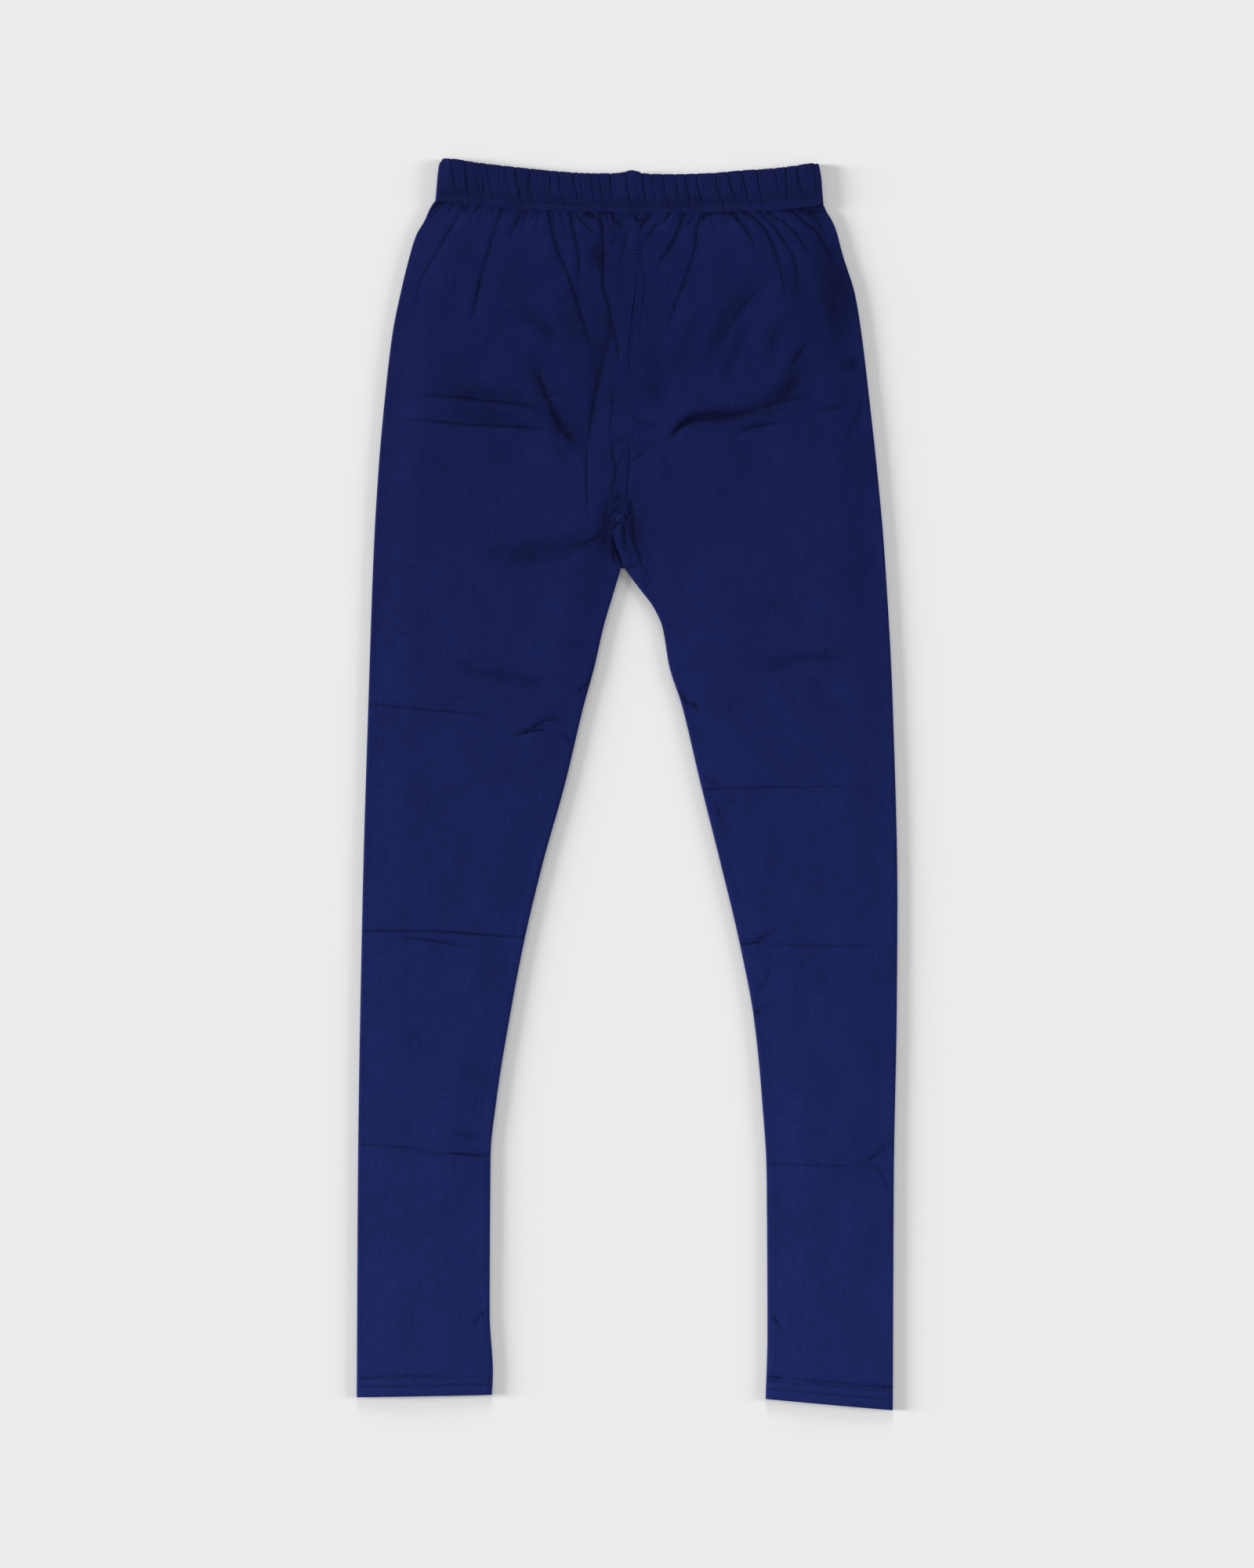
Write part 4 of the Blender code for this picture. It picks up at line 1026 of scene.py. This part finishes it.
def makeGusset():
    top, bottom = gussetTop - gusset["belowTop"], gusset["bottom"]
    share = np.arange(gusset["columns"] + 1) / gusset["columns"]

    def panel(ys):  # x and y of the rows at these heights
        start = gussetSide["right"](ys) - seams["overlap"]
        end = gussetSide["left"](ys) + seams["overlap"]
        return mix(start[:, None], end[:, None], share[None, :]), np.repeat(ys[:, None], len(share), axis=1)

    x, y = panel(mix(top, bottom, np.arange(gusset["rows"] + 1) / gusset["rows"]))
    fromCrotch = np.hypot(x - gusset["middle"], y - crotchY) - layer["flatEdge"]
    form = liftTable(y) * smooth(fromCrotch / layer["edgeRise"])
    form -= gusset["sink"] * smooth((y - bottom) / gusset["sinkRise"])
    shade = np.zeros_like(x)
    for stroke in gusset["wrinkles"]:
        addCrease(form, shade, x, y, stroke, 0.0, True)
    # painted shade over the whole sunk gusset, on top of that in its wrinkles
    shade += gusset["shade"]
    form += gusset["crown"] * bell(x - mix(x[:, :1], x[:, -1:], gusset["crownPlace"]), gusset["crownHalf"])
    form *= smooth((y - bottom) / gusset["creaseRise"])
    # the middle of the wall, which gets its thickness below
    middleTop = jersey["top"] - jersey["wall"] / 2
    middleBottom = jersey["bottom"] + jersey["wall"] / 2
    radius = (middleTop - middleBottom) / 2
    angles = np.pi * np.arange(1, gusset["arcSteps"])[:, None] / gusset["arcSteps"]
    arcY = bottom - radius * np.sin(angles)
    arcZ = foldMiddle + radius * np.cos(angles)
    arc = np.stack(np.broadcast_arrays(x[-1:], arcY, arcZ), axis=2)
    bx, by = panel(mix(bottom, top, np.arange(gusset["backRows"] + 1) / gusset["backRows"]))
    back = np.stack([bx, by, np.full_like(bx, middleBottom)], axis=2)
    front = np.stack([x, y, middleTop + np.maximum(form, gusset["lowest"])], axis=2)
    grid = np.concatenate([front, arc, back])
    rows, columns = grid.shape[:2]
    along = np.repeat(wayAlong(grid[:, 0, 1:])[:, None], columns, axis=1)
    uv = np.stack([grid[:, :, 0], gussetTop - along], axis=2).reshape(-1, 2)
    shades = np.zeros((rows, columns))
    shades[:len(x)] = np.clip(shade, 0, 1)
    index = np.arange(rows * columns).reshape(rows, columns)
    piece = makeMesh("crotch_gusset_cloth", grid.reshape(-1, 3), uv, quads(index), index.ravel(), navyJersey,
                     shades.ravel())
    wall = piece.modifiers.new("cloth thickness", "SOLIDIFY")
    wall.thickness = jersey["wall"] * mm
    wall.offset = 0.0
    wall.use_quality_normals = True
    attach(piece, "root")
    return piece


gussetPiece = makeGusset()
print("gusset made")

# Waistband: an elastic drawn up in a casing of the same jersey, so the casing lies in uneven gathers

band = {
    "gap": 0.8,  # between the front and the back of the band
    "backWall": 2.0,
    "sideWall": 1.5,
    "casingWall": 2.0,  # elastic with the casing folded round it
    "stripWall": 1.35,  # below the needle line
    "stripEnds": (0.18, 0.30),  # height shares over which the strip's wall turns into the casing's
    "casingRise": (0.2, 7.2),  # above the needle line
    "crown": 0.15,
    "rounding": (0.02, 0.96),  # height shares below and above which the edges are rounded
    "frontColumns": 620,
    "backColumns": 120,
    "arcSteps": 8,
    "rows": 40,
    "endRise": 6.0,  # from the band's ends to its full form
    "puff": 0.10,
    "stripRelief": 0.2,  # share of the gathers' relief below the needle line
    "reliefEnd": (1.04, 0.94),
    "valleyWidth": 0.65,
    "valleyDepth": 0.26,
    # painted shade in the valleys
    "valleyShade": 0.9,
    "scallop": 0.75,
    "scallopFrom": 0.8,
    "reach": (-150.0, 154.0),  # x past the first and the last valley
    "backBase": 0.2,  # how far the back's gathers lie in, up from the table
    "backRelief": 0.6,
    "backDeepest": 0.7,
    "backRise": 0.2,
    # thin creases between the valleys, each strongest at its own height
    "fineSeed": 11,
    "fineSpan": (-143.0, 148.0),
    "finePitch": 3.4,
    "fineScatter": 1.8,
    "fineLean": (-2.0, 3.0),
    "fineDepth": (0.15, 0.6),
    "fineReach": 0.45,
    "fineWidth": 0.6,
    # painted shade at the band's lower edge
    "lowestShade": 0.08,
}
needle = {
    "share": 0.22,  # height share of the needle line, about
    "groove": 0.15,
    "backGroove": 0.4,
    "grooveWidth": 0.8,
    # painted shade along the needle line and under its puckers
    "shade": 0.3,
    "shadeWidth": 0.7,
    "pucker": 0.08,
    "puckerBelow": 1.5,
    "puckerReach": 4.0,
    "puckerShade": 0.42,
}
bandTop = curve([(-143.6, 486.5), (-134.2, 486.0), (-119.0, 483.5), (-96.4, 480.7), (-73.2, 478.2),
                 (-50.6, 476.1), (-32.3, 475.0), (3.7, 474.6), (34.2, 474.1), (63.4, 474.9), (88.5, 477.0),
                 (113.5, 478.7), (131.2, 480.8), (144.0, 482.6), (149.0, 482.4)])
needleLine = curve([(-148.0, 460.4), (-120.5, 457.2), (-90.0, 453.9), (-48.2, 451.1), (16.8, 449.0),
                    (39.6, 448.6), (67.7, 451.0), (98.2, 453.2), (132.7, 454.7), (152.0, 456.6)])
# Columns: share of the height, x
bandLeft = curve([(0.0, -149.2), (0.25, -148.4), (0.6, -147.4), (0.85, -146.2), (1.0, -143.6)])
bandRight = curve([(0.0, 153.0), (0.25, 152.2), (0.6, 151.4), (0.85, 150.2), (1.0, 149.0)])
# The valleys between the gathers. Columns: x at the top edge, x halfway, x at the needle line, depth at the
# top, depth at the needle line
valleys = [
    (-142.6, -141.9, -140.8, 1.0, 0.2), (-136.9, -134.9, -132.4, 0.6, 0.9),
    (-126.3, -125.4, -122.0, 1.2, 0.7), (-118.6, -115.6, -114.2, 0.5, 0.7),
    (-115.2, -112.2, -109.5, 0.9, 0.3), (-108.6, -107.5, -104.8, 0.9, 0.5),
    (-96.4, -92.6, -89.2, 0.7, 0.7), (-86.8, -85.4, -82.3, 1.2, 0.9), (-75.6, -75.6, -73.2, 1.0, 0.8),
    (-59.8, -59.5, -57.3, 0.5, 0.6), (-52.8, -52.4, -49.2, 1.1, 0.6), (-42.4, -40.2, -36.4, 1.3, 1.0),
    (-36.8, -35.4, -33.0, 0.6, 0.1), (-28.2, -27.0, -24.4, 1.0, 0.4), (-22.1, -19.9, -17.6, 0.9, 0.6),
    (-12.9, -12.6, -9.7, 0.6, 0.6), (-1.5, -0.2, 3.0, 0.8, 0.9), (11.4, 12.9, 15.2, 1.2, 0.8),
    (18.9, 21.2, 22.2, 0.7, 0.7), (28.1, 29.9, 32.0, 0.5, 1.0), (37.2, 39.4, 41.6, 0.8, 0.5),
    (45.0, 47.1, 48.9, 0.8, 1.0), (53.6, 55.2, 58.8, 1.1, 1.2), (68.5, 70.4, 74.6, 0.9, 1.1),
    (77.8, 80.6, 87.0, 1.1, 1.0), (88.8, 91.8, 95.4, 1.3, 0.9), (101.0, 102.4, 105.4, 1.5, 1.0),
    (114.4, 117.2, 119.2, 0.9, 0.5), (123.6, 123.8, 125.4, 1.0, 0.9), (131.8, 133.6, 137.3, 1.2, 1.0),
    (145.8, 146.4, 147.1, 0.9, 0.6),
]
centreBump = {"x": 3.7, "half": 7.5, "rise": 2.5, "wall": 0.5}
rng = np.random.default_rng(band["fineSeed"])
# Columns: x at the needle line, lean, depth, share of the height where it is strongest
fineCreases = [
    (place + rng.uniform(-band["fineScatter"], band["fineScatter"]), rng.uniform(*band["fineLean"]),
     rng.uniform(*band["fineDepth"]), rng.uniform(0.0, 1.0))
    for place in np.arange(*band["fineSpan"], band["finePitch"])
]


def bandRelief(x, height):
    # Puffs between the valleys and the valleys themselves, for one row of points across the band
    atTop, halfway, atNeedle, topDepth, needleDepth = np.array(valleys).T
    t = np.clip((height - needle["share"]) / (1 - needle["share"]), 0.0, 1.0)  # 0 at the needle line
    across = np.where(t > 0.5, mix(halfway, atTop, 2 * t - 1), mix(atNeedle, halfway, 2 * t))
    depth = mix(needleDepth, topDepth, t)
    fences = np.concatenate([band["reach"][:1], across, band["reach"][1:]])
    place = np.clip(np.searchsorted(fences, x) - 1, 0, len(fences) - 2)
    width = fences[place + 1] - fences[place]
    inside = np.clip((x - fences[place]) / width, 0, 1)
    puff = band["puff"] * np.sqrt(width / 10.0) * (1 - (2 * inside - 1) ** 2)
    valley = sum(d * bell(x - a, band["valleyWidth"]) for a, d in zip(across, depth))
    for start, lean, deep, strongest in fineCreases:
        deep *= bell(t - strongest, band["fineReach"])
        valley += deep * bell(x - start + lean * t, band["fineWidth"])
    return puff - band["valleyDepth"] * valley, valley


def puckers(x):  # the cloth drawn in along the needle line, in bunches
    return np.sin(x / 0.40 + 1.7 * np.sin(x / 11.0)) * (0.6 + 0.4 * np.sin(x / 5.1))


def bandLoop(v, w):
    # One loop of points round the band and the shade painted on them. v is the share of its height, w the
    # share of the wall from its outer face inwards.
    gap = band["gap"]
    inner = jersey["bottom"] + band["backWall"]
    sideWall = mix(band["stripWall"], band["sideWall"], between(v, *band["stripEnds"]))
    startX = float(bandLeft(v)) + gap / 2 + sideWall
    endX = float(bandRight(v)) - gap / 2 - sideWall

    x = mix(startX, endX, np.arange(band["frontColumns"] + 1) / band["frontColumns"])
    bump = bell(x - centreBump["x"], centreBump["half"])
    base, top = waistLine(x), bandTop(x) + centreBump["rise"] * bump
    y = mix(base, top, v)
    relief, valley = bandRelief(x, v)
    fromNeedle = y - needleLine(x)
    casing = between(fromNeedle, *band["casingRise"])
    crown = band["crown"] * np.sin(np.pi * np.clip(fromNeedle / (top - needleLine(x)), 0, 1))
    pucker = puckers(x)
    pulled = bell(fromNeedle + needle["puckerBelow"], needle["puckerReach"])
    wall = mix(band["stripWall"], band["casingWall"], casing) + crown * casing
    wall += relief * mix(band["stripRelief"], 1.0, casing) * between(v, *band["reliefEnd"])
    wall += needle["pucker"] * pucker * pulled
    wall -= needle["groove"] * bell(fromNeedle, needle["grooveWidth"])
    wall += centreBump["wall"] * bump * casing
    edge = smooth(np.minimum(x - startX, endX - x) / band["endRise"])
    wall = mix(sideWall, wall, edge)
    y = y - band["scallop"] * valley * between(v, band["scallopFrom"], 1.0)
    front = np.stack([x, y, inner + gap + wall * (1 - w)], axis=1)

    bx = mix(endX, startX, np.arange(band["backColumns"] + 1) / band["backColumns"])
    by = mix(waistLine(bx), bandTop(bx), v)
    backRelief, _ = bandRelief(-bx, v)
    hollows = np.clip(band["backBase"] - band["backRelief"] * backRelief, 0.0, band["backDeepest"])
    backWall = band["backWall"] - hollows * smooth((1 - abs(2 * v - 1)) / band["backRise"])
    backWall -= needle["backGroove"] * bell(by - needleLine(bx), needle["grooveWidth"])
    backEdge = smooth(np.minimum(bx - startX, endX - bx) / band["endRise"])
    backWall = mix(band["backWall"], backWall, backEdge)
    back = np.stack([bx, by, inner - backWall * (1 - w)], axis=1)
    back[0, 1], back[-1, 1] = y[-1], y[0]

    reach = gap / 2 + sideWall * (1 - w)
    angles = np.pi * np.arange(1, band["arcSteps"]) / band["arcSteps"]

    def arc(centreX, centreY, out):
        arcX = centreX + out * reach * np.sin(angles)
        arcZ = inner + gap / 2 + out * reach * np.cos(angles)
        return np.stack([arcX, np.full(len(angles), centreY), arcZ], axis=1)

    loop = np.concatenate([front, arc(endX, y[-1], 1), back, arc(startX, y[0], -1)])
    # painted shade: in the valleys, along the needle line, under the puckers and at the lower edge
    dark = band["valleyShade"] * valley * mix(0.5, 1.0, casing)
    dark += needle["shade"] * bell(fromNeedle, needle["shadeWidth"])
    dark += needle["puckerShade"] * np.clip(-pucker, 0, 1) * pulled
    dark += band["lowestShade"] * between(v, 0.05, 0.0)
    shade = np.zeros(len(loop))
    shade[:len(x)] = np.clip(dark, 0, 1) * edge
    return loop, shade


def makeBand():
    # the section of the band's wall: up its outer face, over the top, down inside and round the lower edge
    low, high = band["rounding"]
    section = [(v, 0.0) for v in mix(low, high, np.arange(band["rows"] + 1) / band["rows"])]
    section += [(mix(high, 1.0, np.sin(a)), 0.5 - 0.5 * np.cos(a)) for a in np.pi * np.arange(1, 6) / 6]
    section += [(v, 1.0) for v in (high, 0.7, 0.4, 0.15, low)]
    section += [(mix(low, 0.0, np.sin(a)), 0.5 + 0.5 * np.cos(a)) for a in np.pi * np.arange(1, 3) / 3]
    loops, shades = zip(*(bandLoop(v, w) for v, w in section))
    grid = np.array(loops)
    rows, columns = grid.shape[:2]
    around = wayAlong(grid[10][:, (0, 2)])
    around = np.append(around, around[-1] + 1.0)
    upwards = wayAlong(np.concatenate([grid, grid[:1]])[:, columns // 3, 1:])
    # places with one more row and column than the grid, sewn to the first ones
    r, c = np.meshgrid(np.arange(rows + 1), np.arange(columns + 1), indexing="ij")
    number = r * (columns + 1) + c
    twin = (r % rows) * (columns + 1) + c % columns
    points = grid[r % rows, c % columns].reshape(-1, 3)
    uv = np.stack([around[c], upwards[r]], axis=2).reshape(-1, 2)
    shade = np.array(shades)[r % rows, c % columns]
    piece = makeMesh("waistband_casing", points, uv, quads(number, turned=True), twin.ravel(), navyCasing,
                     shade.ravel())
    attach(piece, "root")
    # where the needle line runs over the surface, all round
    outer = grid[:band["rows"] + 1]
    ring = []
    for column in range(columns):
        line = float(needleLine(outer[8, column, 0]))
        x, y, z = outer[:, column].T
        ring.append((np.interp(line, y, x), line, np.interp(line, y, z)))
    return piece, np.array(ring)


bandPiece, needleRing = makeBand()
print("waistband made,", len(bandPiece.data.polygons) * 2, "triangles")

# Stitches: short low beads of thread along the needle rows, laid out by one Geometry Nodes tree

stitchSizes = {
    "Pitch": 2.5 * mm,
    "Length": 1.7 * mm,
    "Thickness": 0.5 * mm,
    "Unevenness": 0.2,
    "Seed": 3,
}
stitchLift = {"front": 0.05, "back": 0.18, "offTable": 0.02}


def stitchTree():
    tree = bpy.data.node_groups.new("stitch row", "GeometryNodeTree")
    tree.interface.new_socket("Geometry", in_out="INPUT", socket_type="NodeSocketGeometry")
    for label in stitchSizes:
        kind = "NodeSocketInt" if label == "Seed" else "NodeSocketFloat"
        tree.interface.new_socket(label, in_out="INPUT", socket_type=kind)
    tree.interface.new_socket("Thread", in_out="INPUT", socket_type="NodeSocketMaterial")
    tree.interface.new_socket("Geometry", in_out="OUTPUT", socket_type="NodeSocketGeometry")
    given = addNode(tree, "NodeGroupInput").outputs
    path = addNode(tree, "GeometryNodeMeshToCurve", links={"Mesh": given["Geometry"]})
    spaced = addNode(tree, "GeometryNodeResampleCurve", mode="LENGTH",
                     links={"Curve": path.outputs[0], "Length": given["Pitch"]})
    along = addNode(tree, "GeometryNodeInputTangent")
    turned = addNode(tree, "FunctionNodeAlignRotationToVector", axis="X", links={"Vector": along.outputs[0]})
    least = addNode(tree, "ShaderNodeMath", operation="SUBTRACT", values={0: 1.0},
                    links={1: given["Unevenness"]})
    uneven = addNode(tree, "FunctionNodeRandomValue", data_type="FLOAT", values={3: 1.0},
                     links={2: least.outputs[0], "Seed": given["Seed"]})
    length = addNode(tree, "ShaderNodeMath", operation="MULTIPLY",
                     links={0: given["Length"], 1: uneven.outputs[1]})
    size = addNode(tree, "ShaderNodeCombineXYZ",
                   links={0: length.outputs[0], 1: given["Thickness"], 2: given["Thickness"]})
    bead = addNode(tree, "GeometryNodeMeshUVSphere", values={"Segments": 6, "Rings": 5, "Radius": 0.5})
    laid = addNode(tree, "GeometryNodeInstanceOnPoints",
                   links={"Points": spaced.outputs[0], "Instance": bead.outputs[0],
                          "Rotation": turned.outputs[0], "Scale": size.outputs[0]})
    real = addNode(tree, "GeometryNodeRealizeInstances", links={0: laid.outputs[0]})
    done = addNode(tree, "GeometryNodeSetMaterial",
                   links={"Geometry": real.outputs[0], "Material": given["Thread"]})
    addNode(tree, "NodeGroupOutput", links={0: done.outputs[0]})
    return tree


stitching = stitchTree()


def sewRows(name, rings):
    # Stitches along closed rings of points
    points = []
    edges = []
    for ring in rings:
        first = len(points)
        lift = np.where(ring[:, 2] > foldMiddle, stitchLift["front"], stitchLift["back"])
        points += [(x * mm, y * mm, (z + up) * mm) for (x, y, z), up in zip(ring, lift)]
        edges += [(first + k, first + (k + 1) % len(ring)) for k in range(len(ring))]
    path = bpy.data.meshes.new(name)
    path.from_pydata(points, edges, [])
    row = addObject(name + "_path", path)
    modifier = row.modifiers.new("stitches", "NODES")
    modifier.node_group = stitching
    for item in stitching.interface.items_tree:
        if item.name in stitchSizes:
            modifier[item.identifier] = stitchSizes[item.name]
        elif item.name == "Thread":
            modifier[item.identifier] = navyThread
    mesh = bpy.data.meshes.new_from_object(row.evaluated_get(bpy.context.evaluated_depsgraph_get()))
    bpy.data.objects.remove(row, do_unlink=True)
    places = np.zeros(3 * len(mesh.vertices), np.float32)
    mesh.vertices.foreach_get("co", places)
    # those round the folded edges stay off the table
    places[2::3] = np.maximum(places[2::3], stitchLift["offTable"] * mm)
    mesh.vertices.foreach_set("co", places)
    mesh.name = name
    mesh.shade_smooth()
    piece = addObject(name, mesh)
    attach(piece, "root")
    print(name, "made,", len(mesh.polygons), "faces")
    return piece


rightStitches = sewRows("right_hem_stitching", rightLeg["hemRings"])
leftStitches = sewRows("left_hem_stitching", leftLeg["hemRings"])
bandStitches = sewRows("waistband_stitching", [needleRing])

# Stage, light and camera: straight above the floor, the picture 1.22 m high

stageSizes = {
    "pictureHeight": 1.220,  # metres
    "pictureMiddle": 0.00006,  # metres above the leggings' middle
    "lens": 100.0,
    "sensor": 36.0,
    "floorWidth": 60.0,
    "floorDrop": 0.0001,  # metres, so that the floor and the undersides don't meet
    "paper": "#ececec",
    "ambient": 0.34,  # share of the floor's light that comes from all round
}
# Low soft lights, the strongest from the left. Angles in degrees, azimuth from +X
lamps = {
    "key from the left": {"share": 0.36, "azimuth": 177.0, "elevation": 10.0, "spread": 15.0},
    "fill from the right": {"share": 0.18, "azimuth": 4.0, "elevation": 13.0, "spread": 17.0},
    "fill from the top": {"share": 0.12, "azimuth": 92.0, "elevation": 13.0, "spread": 17.0},
}


def makeFloor():
    # Matt paper, with no gloss to speak of
    paper, _, _ = newMaterial("pale paper floor, matt", {
        "Base Color": linear(stageSizes["paper"]),
        "Roughness": 1.0,
        "Specular IOR Level": 0.2,
    })
    half, z = stageSizes["floorWidth"] / 2, -stageSizes["floorDrop"]
    corners = [(-half, -half, z), (half, -half, z), (half, half, z), (-half, half, z)]
    mesh = bpy.data.meshes.new("floor")
    mesh.from_pydata(corners, [], [(0, 1, 2, 3)])
    mesh.materials.append(paper)
    addObject("floor", mesh)


def makeLights():
    world = bpy.data.worlds.new("studio")
    world.use_nodes = True
    background = world.node_tree.nodes["Background"]
    background.inputs["Color"].default_value = (1.0, 1.0, 1.0, 1.0)
    background.inputs["Strength"].default_value = stageSizes["ambient"]
    bpy.context.scene.world = world
    for name, sizes in lamps.items():
        elevation = np.radians(sizes["elevation"])
        light = bpy.data.lights.new(name, "SUN")
        light.energy = sizes["share"] * np.pi / np.sin(elevation)
        light.angle = np.radians(sizes["spread"])
        lamp = addObject(name, light)
        lamp.rotation_euler = (0.0, np.pi / 2 - elevation, np.radians(sizes["azimuth"]))


def makeCamera():
    camera = bpy.data.cameras.new("camera")
    camera.lens = stageSizes["lens"]
    camera.sensor_fit = "VERTICAL"
    camera.sensor_height = stageSizes["sensor"]
    eye = addObject("camera", camera)
    distance = stageSizes["pictureHeight"] * stageSizes["lens"] / stageSizes["sensor"]
    eye.location = (0.0, stageSizes["pictureMiddle"], distance)
    bpy.context.scene.camera = eye
    bpy.context.scene.view_settings.view_transform = "Standard"


makeFloor()
makeLights()
makeCamera()
print("floor, lights and camera made")

for piece, nodes, slotName in (
    (rightLeg["piece"], ["leg_right"], "jersey"),
    (leftLeg["piece"], ["leg_left"], "jersey"),
    (gussetPiece, ["gusset"], "jersey"),
    (bandPiece, ["waistband"], "waistband_jersey"),
):
    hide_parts(*nodes)
